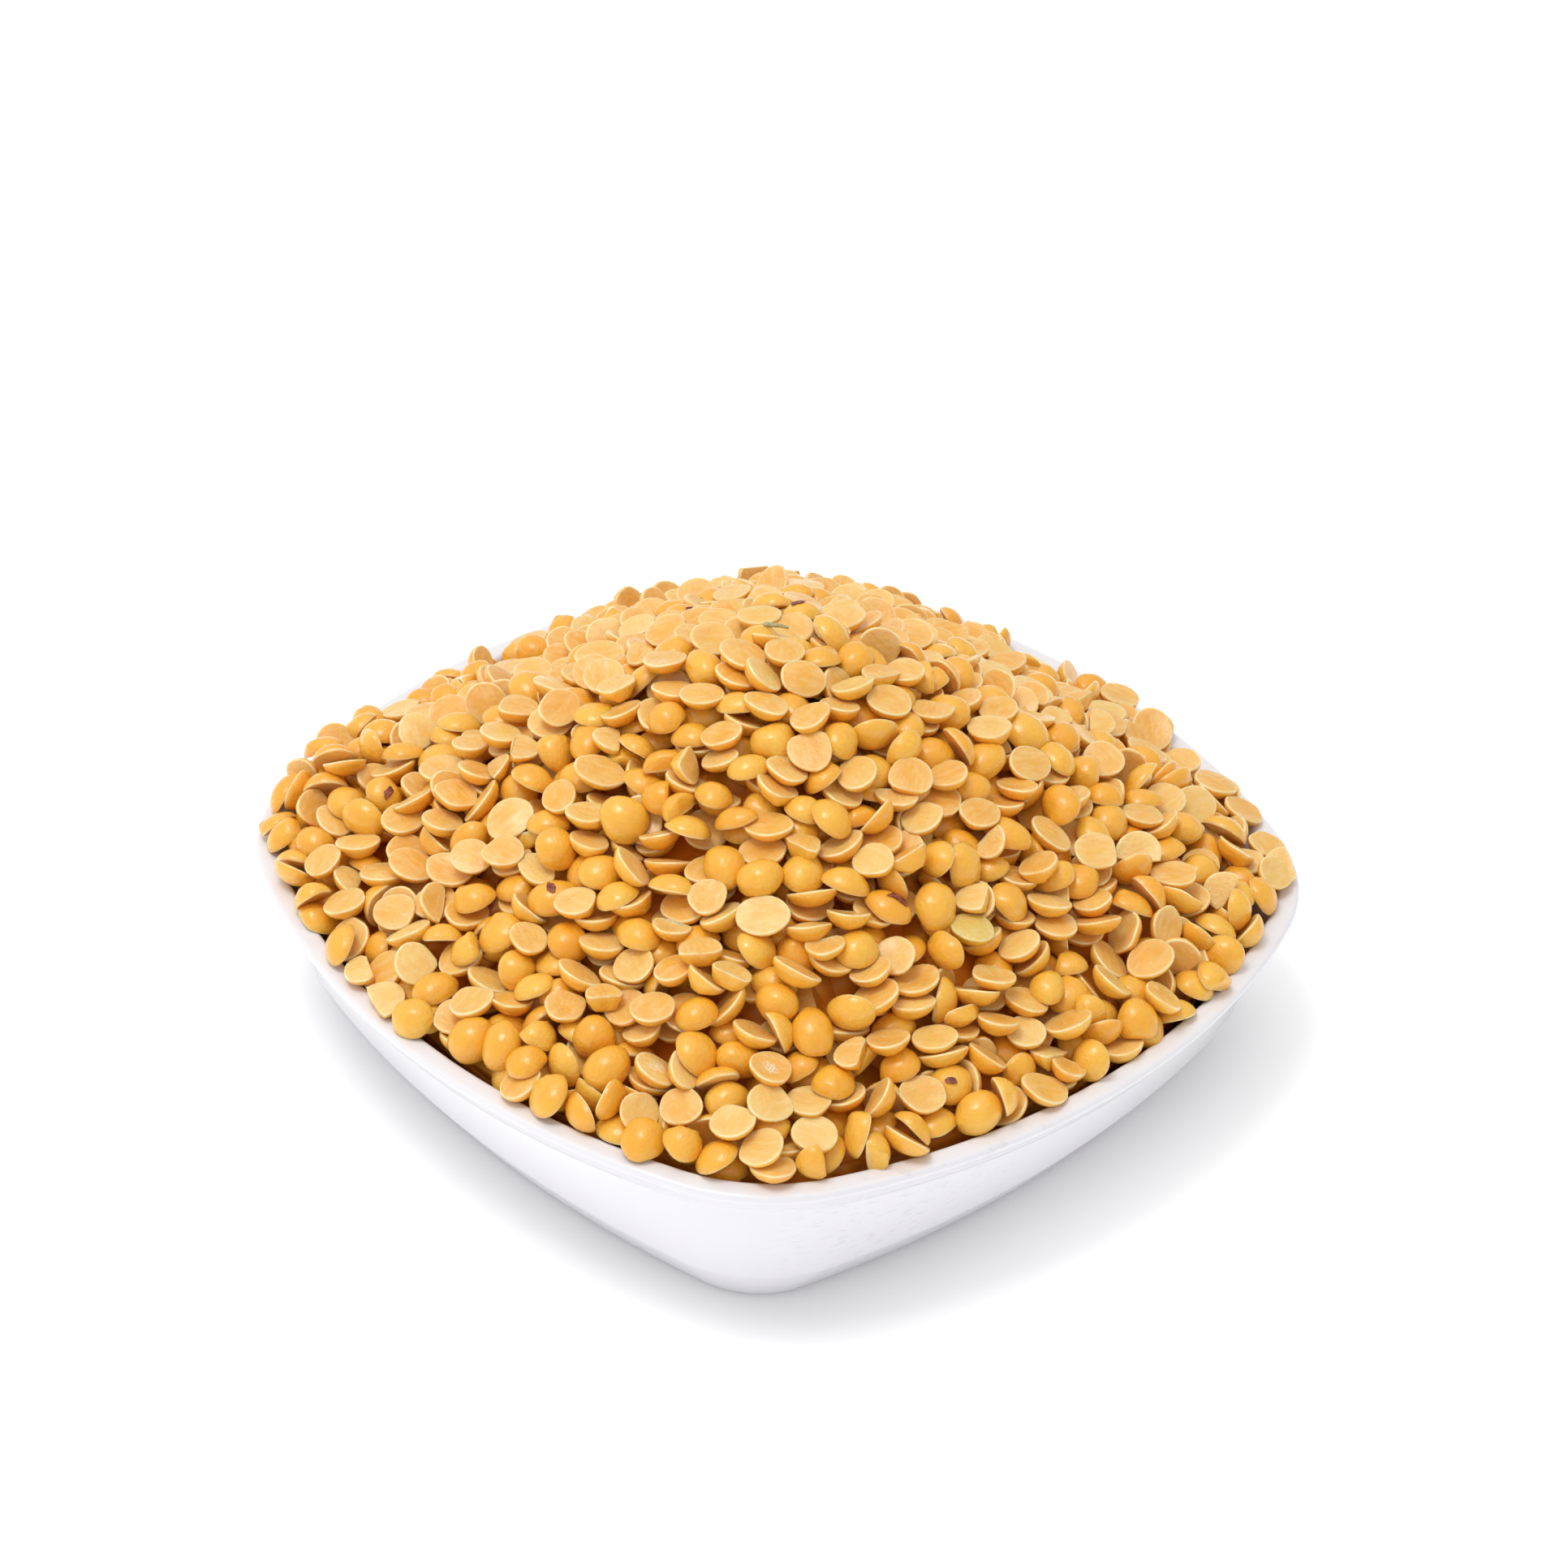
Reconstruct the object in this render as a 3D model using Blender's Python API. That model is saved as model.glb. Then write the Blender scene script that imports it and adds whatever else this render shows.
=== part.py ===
"""A small square dish, heaped with split lentils.

The dish stands on the floor with its base on z = 0 and its sides along X and Y.
It is a square with bowed sides and large round corners: a flared wall, a raised
band under the rim and a turned-in foot. The lentils fill it and rise to a
rounded cone. They are one solid: a core with low-sided half lentils fused on.

Units are metres, and +Z is up.
"""

import math
import random

import bmesh
import bpy
from mathutils import Matrix, Vector

# Driving dimensions of the dish
RIM_HALF_SIDE = 0.0590
RIM_CORNER_RADIUS = 0.0253
RIM_BOW_RADIUS = 0.0946
RIM_HEIGHT = 0.02325
RIM_WIDTH = 0.0028
RIM_ROUNDING = 0.0006
BAND_HEIGHT = 0.0037
BAND_TAPER = 0.0019
BAND_STEP = 0.0004
TURN_HALF_SIDE = 0.0501
TURN_CORNER_RADIUS = 0.0173
TURN_BOW_RADIUS = 0.1390
TURN_HEIGHT = 0.0059
TURN_ROUNDING = 0.0005
BASE_HALF_SIDE = 0.0460
BASE_CORNER_RADIUS = 0.0109
WALL_THICKNESS = 0.0031
FLOOR_THICKNESS = 0.0040
FLOOR_FILLET = 0.0034
SIDE_STEPS = 8
CORNER_STEPS = 5

# Driving dimensions of the heap
CLEARANCE = 0.0003
HEAP_EDGE_HEIGHT = 0.0238
HEAP_RISE = 0.0301
SUMMIT_ROUNDING = 0.25
CORE_DEPTH = 0.0015
CORE_RINGS = 5

# Driving dimensions of one lentil
LENTIL_COUNT = 300
LENTIL_LENGTH = 0.0057
LENTIL_THICKNESS = 0.0026
LENTIL_SIDES = 7
FACE_LEVEL_SHARE = 0.35
DOME_TOP_SHARE = 0.56
FACE_UP_SHARE = 0.62
GREATEST_TILT = math.radians(28)
SEED = 11

# Faces of the joined heap that turn less than this become one
FLAT_ANGLE = math.radians(1.5)

# Places where the heap stands up over its even cone: x, y, height, radius
LUMPS = (
    (-0.0445, -0.0340, 0.0026, 0.0090),
    (0.0090, 0.0520, 0.0018, 0.0080),
    (-0.0330, 0.0220, 0.0012, 0.0110),
    (0.0290, -0.0120, 0.0010, 0.0120),
)

GOLDEN_ANGLE = math.pi * (3 - math.sqrt(5))


class Outline:
    """A square with bowed sides and round corners, centred on the Z axis."""

    def __init__(self, half_side, corner_radius, bow_radius):
        self.half_side = half_side
        self.corner_radius = corner_radius
        self.bow_radius = bow_radius
        corner_share = (bow_radius - half_side) / (bow_radius - corner_radius) / math.sqrt(2)
        self.side_angle = max(math.acos(min(max(corner_share, -1), 1)) - math.pi / 4, 0)
        self.corner_centre = (bow_radius - corner_radius) * math.sin(self.side_angle)

    def inset(self, distance):
        """The outline parallel to this one, a distance inside it."""
        return Outline(self.half_side - distance, self.corner_radius - distance, self.bow_radius - distance)

    def blend(self, other, share):
        """The outline between this one (share 0) and another (share 1)."""
        return Outline(
            self.half_side + (other.half_side - self.half_side) * share,
            self.corner_radius + (other.corner_radius - self.corner_radius) * share,
            self.bow_radius + (other.bow_radius - self.bow_radius) * share,
        )

    def points(self):
        """Points round the outline, counter-clockwise from the start of the +X side."""
        quarter = []
        for step in range(SIDE_STEPS):
            angle = self.side_angle * (2 * step / SIDE_STEPS - 1)
            quarter.append(Vector((
                self.half_side - self.bow_radius + self.bow_radius * math.cos(angle),
                self.bow_radius * math.sin(angle),
            )))
        corner_sweep = math.pi / 2 - 2 * self.side_angle
        for step in range(CORNER_STEPS):
            angle = self.side_angle + corner_sweep * step / CORNER_STEPS
            quarter.append(Vector((
                self.corner_centre + self.corner_radius * math.cos(angle),
                self.corner_centre + self.corner_radius * math.sin(angle),
            )))
        points = []
        for turn in range(4):
            turned = Matrix.Rotation(turn * math.pi / 2, 2)
            points.extend(turned @ point for point in quarter)
        return points

    def reach(self, angle):
        """Distance from the centre to the outline in one direction."""
        folded = abs((angle + math.pi / 4) % (math.pi / 2) - math.pi / 4)
        side_centre = self.half_side - self.bow_radius
        across = side_centre * math.sin(folded)
        distance = side_centre * math.cos(folded) + math.sqrt(self.bow_radius ** 2 - across ** 2)
        height = distance * math.sin(folded)
        if math.asin(min(height / self.bow_radius, 1)) <= self.side_angle:
            return distance
        across = self.corner_centre * (math.cos(folded) - math.sin(folded))
        along = self.corner_centre * (math.cos(folded) + math.sin(folded))
        return along + math.sqrt(max(self.corner_radius ** 2 - across ** 2, 0))

    def share_of(self, x, y):
        """How far out a point is: 0 at the centre and 1 on the outline."""
        return math.hypot(x, y) / self.reach(math.atan2(y, x))


RIM_OUTLINE = Outline(RIM_HALF_SIDE, RIM_CORNER_RADIUS, RIM_BOW_RADIUS)
TURN_OUTLINE = Outline(TURN_HALF_SIDE, TURN_CORNER_RADIUS, TURN_BOW_RADIUS)
BASE_OUTLINE = Outline(BASE_HALF_SIDE, BASE_CORNER_RADIUS, TURN_BOW_RADIUS)
MOUTH_OUTLINE = RIM_OUTLINE.inset(RIM_WIDTH)
BAND_FOOT_HEIGHT = RIM_HEIGHT - BAND_HEIGHT
WALL_TOP_OUTLINE = RIM_OUTLINE.inset(BAND_TAPER + BAND_STEP)


def wall_outline(height):
    """Outside of the flared wall at one height between the turned edge and the band."""
    share = (height - TURN_HEIGHT) / (BAND_FOOT_HEIGHT - TURN_HEIGHT)
    return TURN_OUTLINE.blend(WALL_TOP_OUTLINE, share)


def inner_profile():
    """Height and outline of each ring inside the dish, from the mouth to the floor."""
    middle_height = (RIM_HEIGHT + TURN_HEIGHT) / 2
    fillet_top = FLOOR_THICKNESS + FLOOR_FILLET
    fillet_outline = wall_outline(fillet_top).inset(WALL_THICKNESS)
    fillet_middle = FLOOR_THICKNESS + FLOOR_FILLET * (1 - math.sin(math.pi / 4))
    return [
        (RIM_HEIGHT - RIM_ROUNDING, MOUTH_OUTLINE),
        (middle_height, wall_outline(middle_height).inset(WALL_THICKNESS)),
        (fillet_top, fillet_outline),
        (fillet_middle, fillet_outline.inset(FLOOR_FILLET * (1 - math.cos(math.pi / 4)))),
        (FLOOR_THICKNESS, fillet_outline.inset(FLOOR_FILLET)),
    ]


def outer_profile():
    """Height and outline of each ring outside the dish, from the base to the rim's top."""
    return [
        (0.0, BASE_OUTLINE),
        (TURN_HEIGHT - TURN_ROUNDING, TURN_OUTLINE.inset(TURN_ROUNDING)),
        (TURN_HEIGHT + TURN_ROUNDING, wall_outline(TURN_HEIGHT + TURN_ROUNDING)),
        (BAND_FOOT_HEIGHT - BAND_STEP, wall_outline(BAND_FOOT_HEIGHT - BAND_STEP)),
        (BAND_FOOT_HEIGHT, RIM_OUTLINE.inset(BAND_TAPER)),
        (RIM_HEIGHT - RIM_ROUNDING, RIM_OUTLINE),
        (RIM_HEIGHT, RIM_OUTLINE.inset(RIM_ROUNDING)),
        (RIM_HEIGHT, MOUTH_OUTLINE.inset(-RIM_ROUNDING)),
    ]


def bridge_rings(mesh, rings):
    """Join rings of points, listed upwards on an outer side, with faces that point outwards."""
    for lower, upper in zip(rings, rings[1:]):
        count = len(lower)
        for index in range(count):
            after = (index + 1) % count
            mesh.faces.new((lower[index], lower[after], upper[after], upper[index]))


def add_ring(mesh, outline, height):
    """Add one ring of points at one height."""
    return [mesh.verts.new((point.x, point.y, height)) for point in outline.points()]


def finish_mesh(mesh, name, material):
    """Triangulate a closed mesh and make it an object of the scene."""
    bmesh.ops.recalc_face_normals(mesh, faces=mesh.faces)
    bmesh.ops.triangulate(mesh, faces=mesh.faces)
    data = bpy.data.meshes.new(name)
    mesh.to_mesh(data)
    mesh.free()
    data.materials.append(material)
    item = bpy.data.objects.new(name, data)
    bpy.context.scene.collection.objects.link(item)
    return item


def surface_material(name, colour, roughness):
    """A plain opaque material."""
    material = bpy.data.materials.new(name)
    material.use_nodes = True
    shader = material.node_tree.nodes["Principled BSDF"]
    shader.inputs["Base Color"].default_value = (*colour, 1)
    shader.inputs["Roughness"].default_value = roughness
    shader.inputs["Metallic"].default_value = 0
    return material


def build_dish(material):
    """The dish: one closed shell, turned down inside to its own floor."""
    mesh = bmesh.new()
    sections = outer_profile() + inner_profile()
    rings = [add_ring(mesh, outline, height) for height, outline in sections]
    mesh.faces.new(list(reversed(rings[0])))
    bridge_rings(mesh, rings)
    mesh.faces.new(rings[-1])
    item = finish_mesh(mesh, "dish", material)
    item.data.shade_smooth()
    item.data.set_sharp_from_angle(angle=math.radians(28))
    return item


def heap_height(x, y):
    """Height of the heap's even surface: a cone with a rounded tip, and a few lumps."""
    share = min(MOUTH_OUTLINE.share_of(x, y), 1)
    far = math.hypot(1, SUMMIT_ROUNDING)
    fall = (far - math.hypot(share, SUMMIT_ROUNDING)) / (far - SUMMIT_ROUNDING)
    height = HEAP_EDGE_HEIGHT + HEAP_RISE * fall
    for lump_x, lump_y, lump_height, lump_radius in LUMPS:
        away = math.hypot(x - lump_x, y - lump_y) / lump_radius
        height += lump_height * math.exp(-away ** 2)
    return height


def heap_normal(x, y):
    """Direction that the heap's surface faces at one place."""
    step = LENTIL_LENGTH / 4
    slope_x = (heap_height(x + step, y) - heap_height(x - step, y)) / (2 * step)
    slope_y = (heap_height(x, y + step) - heap_height(x, y - step)) / (2 * step)
    return Vector((-slope_x, -slope_y, 1)).normalized()


def build_core(material):
    """The heap's core: it fills the dish, clear of it all round, and rises inside the cone."""
    mesh = bmesh.new()
    rings = []
    for height, outline in reversed(inner_profile()):
        raised = height + CLEARANCE if outline is not MOUTH_OUTLINE else height
        rings.append(add_ring(mesh, outline.inset(CLEARANCE), raised))
    for ring_index in range(1, CORE_RINGS):
        share = 1 - ring_index / CORE_RINGS
        ring = []
        for point in MOUTH_OUTLINE.inset(CLEARANCE).points():
            x, y = point * share
            ring.append(mesh.verts.new((x, y, heap_height(x, y) - CORE_DEPTH)))
        rings.append(ring)
    mesh.faces.new(list(reversed(rings[0])))
    bridge_rings(mesh, rings)
    summit = mesh.verts.new((0, 0, heap_height(0, 0) - CORE_DEPTH))
    last = rings[-1]
    for index, point in enumerate(last):
        mesh.faces.new((point, last[(index + 1) % len(last)], summit))
    return finish_mesh(mesh, "lentil_heap", material)


def lentil_points(length, width, thickness):
    """Corner points of one half lentil: its flat face on +Z and its cut-off dome below."""
    levels = ((thickness * FACE_LEVEL_SHARE, 1), (thickness * (FACE_LEVEL_SHARE - 1), DOME_TOP_SHARE))
    points = []
    for level, share in levels:
        for side in range(LENTIL_SIDES):
            angle = 2 * math.pi * side / LENTIL_SIDES
            points.append(Vector((
                length / 2 * share * math.cos(angle),
                width / 2 * share * math.sin(angle),
                level,
            )))
    return points


def clears_dish(points):
    """Whether a lentil is inside the mouth, or wholly above the rim."""
    if min(point.z for point in points) > RIM_HEIGHT + CLEARANCE:
        return max(RIM_OUTLINE.share_of(point.x, point.y) for point in points) < 0.99
    allowed = MOUTH_OUTLINE.inset(2 * CLEARANCE)
    return all(allowed.share_of(point.x, point.y) < 1 for point in points)


def place_lentil(index, draw):
    """Corner points of one lentil on the heap, or None where none fits."""
    share = math.sqrt((index + 0.5) / LENTIL_COUNT)
    angle = index * GOLDEN_ANGLE
    reach = MOUTH_OUTLINE.reach(angle)
    length = LENTIL_LENGTH * draw.uniform(0.9, 1.1)
    width = length * draw.uniform(0.82, 0.98)
    thickness = LENTIL_THICKNESS * draw.uniform(0.88, 1.12)
    face_up = draw.random() < FACE_UP_SHARE
    tilt = GREATEST_TILT * math.sqrt(draw.random())
    tilt_direction = draw.uniform(0, 2 * math.pi)
    spin = Matrix.Rotation(draw.uniform(0, 2 * math.pi), 3, "Z")
    turn_over = Matrix.Rotation(0 if face_up else math.pi, 3, "X")
    lean = Matrix.Rotation(tilt, 3, Vector((math.cos(tilt_direction), math.sin(tilt_direction), 0)))
    body = lentil_points(length, width, thickness)
    for attempt in range(12):
        distance = share * reach - attempt * LENTIL_LENGTH / 12
        x = distance * math.cos(angle)
        y = distance * math.sin(angle)
        facing = heap_normal(x, y).to_track_quat("Z", "Y").to_matrix()
        centre = Vector((x, y, heap_height(x, y) - CORE_DEPTH / 3))
        placed = [centre + facing @ lean @ spin @ turn_over @ point for point in body]
        if clears_dish(placed):
            return placed
    return None


def add_lentil(points, holder, index):
    """Make one lentil's closed mesh from its corner points."""
    mesh = bmesh.new()
    corners = [mesh.verts.new(point) for point in points]
    face = corners[:LENTIL_SIDES]
    dome = corners[LENTIL_SIDES:]
    mesh.faces.new(face)
    mesh.faces.new(list(reversed(dome)))
    bridge_rings(mesh, [dome, face])
    bmesh.ops.recalc_face_normals(mesh, faces=mesh.faces)
    bmesh.ops.triangulate(mesh, faces=mesh.faces)
    name = f"lentil_{index:03d}"
    data = bpy.data.meshes.new(name)
    mesh.to_mesh(data)
    mesh.free()
    holder.objects.link(bpy.data.objects.new(name, data))


def fuse_lentils(core):
    """Join the lentils to the core by one Boolean union, and remove them."""
    draw = random.Random(SEED)
    holder = bpy.data.collections.new("loose_lentils")
    bpy.context.scene.collection.children.link(holder)
    for index in range(LENTIL_COUNT):
        points = place_lentil(index, draw)
        if points is not None:
            add_lentil(points, holder, index)
    union = core.modifiers.new("fused_lentils", "BOOLEAN")
    union.operation = "UNION"
    union.solver = "MANIFOLD"
    union.operand_type = "COLLECTION"
    union.collection = holder
    bpy.context.view_layer.objects.active = core
    core.select_set(True)
    bpy.ops.object.modifier_apply(modifier=union.name)
    for item in list(holder.objects):
        bpy.data.objects.remove(item, do_unlink=True)
    bpy.data.collections.remove(holder)


def keep_outer_shell(item):
    """Fill hollows that the union sealed and drop loose scraps: only the largest shell stays."""
    mesh = bmesh.new()
    mesh.from_mesh(item.data)
    bmesh.ops.dissolve_limit(mesh, angle_limit=FLAT_ANGLE, verts=mesh.verts, edges=mesh.edges)
    bmesh.ops.triangulate(mesh, faces=mesh.faces)
    unseen = set(mesh.verts)
    shells = []
    while unseen:
        shell = {unseen.pop()}
        frontier = list(shell)
        while frontier:
            vertex = frontier.pop()
            for edge in vertex.link_edges:
                other = edge.other_vert(vertex)
                if other in unseen:
                    unseen.remove(other)
                    shell.add(other)
                    frontier.append(other)
        shells.append(shell)
    largest = max(shells, key=len)
    scraps = [vertex for vertex in mesh.verts if vertex not in largest]
    bmesh.ops.delete(mesh, geom=scraps, context="VERTS")
    mesh.to_mesh(item.data)
    mesh.free()


def main():
    """Build the dish and the heap in it."""
    for item in list(bpy.data.objects):
        bpy.data.objects.remove(item, do_unlink=True)
    glaze = surface_material("white_glaze", (0.90, 0.89, 0.91), 0.22)
    lentil_skin = surface_material("split_lentil", (0.74, 0.42, 0.12), 0.42)
    build_dish(glaze)
    heap = build_core(lentil_skin)
    fuse_lentils(heap)
    keep_outer_shell(heap)


main()
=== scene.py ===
"""A white dish heaped with dry split lentils, dressed for a studio picture.

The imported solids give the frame. The dish gets a smooth glazed shell, and the heap gets
over a thousand loose halves, settled one by one over a core of their own.
Units are metres, and +Z is up.
"""

import logging
import math
from dataclasses import dataclass
from enum import Enum

import bpy
import numpy as np
from mathutils import Matrix, Vector


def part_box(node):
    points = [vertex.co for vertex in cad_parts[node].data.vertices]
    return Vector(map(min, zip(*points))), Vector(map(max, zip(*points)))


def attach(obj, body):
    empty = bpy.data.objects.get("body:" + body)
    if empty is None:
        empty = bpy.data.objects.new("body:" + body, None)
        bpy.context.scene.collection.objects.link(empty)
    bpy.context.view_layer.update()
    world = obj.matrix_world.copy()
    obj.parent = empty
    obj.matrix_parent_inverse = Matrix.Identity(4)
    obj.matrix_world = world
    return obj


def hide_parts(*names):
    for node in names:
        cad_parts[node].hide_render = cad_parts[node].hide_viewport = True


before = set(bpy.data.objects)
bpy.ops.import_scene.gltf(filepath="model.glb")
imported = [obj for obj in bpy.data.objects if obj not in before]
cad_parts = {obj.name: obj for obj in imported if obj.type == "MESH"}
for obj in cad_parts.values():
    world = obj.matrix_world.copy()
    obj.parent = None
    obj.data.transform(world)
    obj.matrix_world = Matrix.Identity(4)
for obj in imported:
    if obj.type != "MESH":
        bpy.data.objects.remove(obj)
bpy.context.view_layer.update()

log = logging.getLogger("dish_of_lentils")

BODY = "root"
Colour = tuple[float, float, float]


@dataclass(frozen=True)
class Outline:
    """A square with bowed sides and round corners, centred on the Z axis."""

    half_side: float
    corner_radius: float
    bow_radius: float

    def side_angle(self) -> float:
        """Half the angle that one bowed side sweeps."""
        share = (self.bow_radius - self.half_side) / (self.bow_radius - self.corner_radius)
        return math.acos(min(share / math.sqrt(2), 1.0)) - math.pi / 4

    def corner_centre(self) -> float:
        """Distance of a corner's centre from each axis."""
        return (self.bow_radius - self.corner_radius) * math.sin(self.side_angle())

    def inset(self, distance: float) -> "Outline":
        """The outline parallel to this one, a distance inside it."""
        return Outline(
            self.half_side - distance,
            self.corner_radius - distance,
            self.bow_radius - distance,
        )

    def blend(self, other: "Outline", share: float) -> "Outline":
        """An outline between this one and another.

        Args:
            other: The outline at share 1.
            share: How far towards the other, from 0 to 1.

        Returns:
            The outline between them.
        """
        return Outline(
            self.half_side + (other.half_side - self.half_side) * share,
            self.corner_radius + (other.corner_radius - self.corner_radius) * share,
            self.bow_radius + (other.bow_radius - self.bow_radius) * share,
        )

    def points(self, side_steps: int, corner_steps: int) -> np.ndarray:
        """Points round the outline, counter-clockwise.

        Args:
            side_steps: Steps along each bowed side.
            corner_steps: Steps round each corner.

        Returns:
            An array of x and y, one row a point.
        """
        turn = self.side_angle()
        side = np.linspace(-turn, turn, side_steps, endpoint=False)
        corner = np.linspace(turn, math.pi / 2 - turn, corner_steps, endpoint=False)
        centre = self.corner_centre()
        along_x = np.concatenate([
            self.half_side - self.bow_radius + self.bow_radius * np.cos(side),
            centre + self.corner_radius * np.cos(corner),
        ])
        along_y = np.concatenate([
            self.bow_radius * np.sin(side),
            centre + self.corner_radius * np.sin(corner),
        ])
        quarters = []
        for _ in range(4):
            quarters.append(np.stack([along_x, along_y], axis=1))
            along_x, along_y = -along_y, along_x
        return np.concatenate(quarters)

    def reach(self, angle: np.ndarray) -> np.ndarray:
        """Distance from the centre to the outline in each direction."""
        folded = np.abs((angle + math.pi / 4) % (math.pi / 2) - math.pi / 4)
        side_centre = self.half_side - self.bow_radius
        across = side_centre * np.sin(folded)
        to_side = side_centre * np.cos(folded) + np.sqrt(self.bow_radius**2 - across**2)
        rise = np.arcsin(np.clip(to_side * np.sin(folded) / self.bow_radius, -1, 1))
        centre = self.corner_centre()
        across = centre * (np.cos(folded) - np.sin(folded))
        along = centre * (np.cos(folded) + np.sin(folded))
        to_corner = along + np.sqrt(np.maximum(self.corner_radius**2 - across**2, 0))
        return np.where(rise <= self.side_angle(), to_side, to_corner)

    def share_of(self, x: np.ndarray, y: np.ndarray) -> np.ndarray:
        """How far out each place is: 0 at the centre and 1 on the outline."""
        return np.hypot(x, y) / self.reach(np.arctan2(y, x))


def object_from_rings(name: str, rings: list[np.ndarray]) -> bpy.types.Object:
    """A closed mesh that runs through rings of equal point counts.

    Args:
        name: Name of the new object.
        rings: Arrays of x, y and z, listed so that the faces point outwards.

    Returns:
        The new object, smooth shaded and linked to the scene.
    """
    count = len(rings[0])
    corners = [tuple(point) for ring in rings for point in ring]
    faces = []
    for row in range(len(rings) - 1):
        for index in range(count):
            after = (index + 1) % count
            lower = row * count
            upper = lower + count
            faces.append((lower + index, lower + after, upper + after, upper + index))
    hub = len(corners)
    corners.append(tuple(rings[0].mean(axis=0)))
    corners.append(tuple(rings[-1].mean(axis=0)))
    faces.extend((hub, (index + 1) % count, index) for index in range(count))
    start = (len(rings) - 1) * count
    faces.extend((hub + 1, start + index, start + (index + 1) % count) for index in range(count))
    return new_object(name, corners, faces)


def new_object(name: str, corners: list, faces: list) -> bpy.types.Object:
    """A smooth shaded mesh object, linked to the scene."""
    data = bpy.data.meshes.new(name)
    data.from_pydata(corners, [], faces)
    data.shade_smooth()
    data.validate()
    item = bpy.data.objects.new(name, data)
    bpy.context.scene.collection.objects.link(item)
    return item


def register(piece: bpy.types.Object, node: str) -> None:
    """Put a piece on its body, hide the solid that it stands for and log its face count."""
    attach(piece, BODY)
    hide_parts(node)
    log.info("%s: %d faces", piece.name, len(piece.data.polygons))


# Places of the odd grains and of the husk flecks in plan, with the flecks' lengths and widths
CHALKY_PLACE = (0.0310, -0.0310)
HOLLOW_PLACE = (0.0298, -0.0415)
GREEN_PLACE = (0.0368, -0.0040)
HUSK_PLACES = (
    (0.0352, -0.0133, 0.0027, 0.0013),
    (0.0010, -0.0398, 0.0018, 0.0011),
    (-0.0080, 0.0030, 0.0020, 0.0011),
    (-0.0282, 0.0088, 0.0016, 0.0010),
    (-0.0322, -0.0375, 0.0018, 0.0011),
    (0.0525, -0.0250, 0.0014, 0.0009),
)


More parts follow.
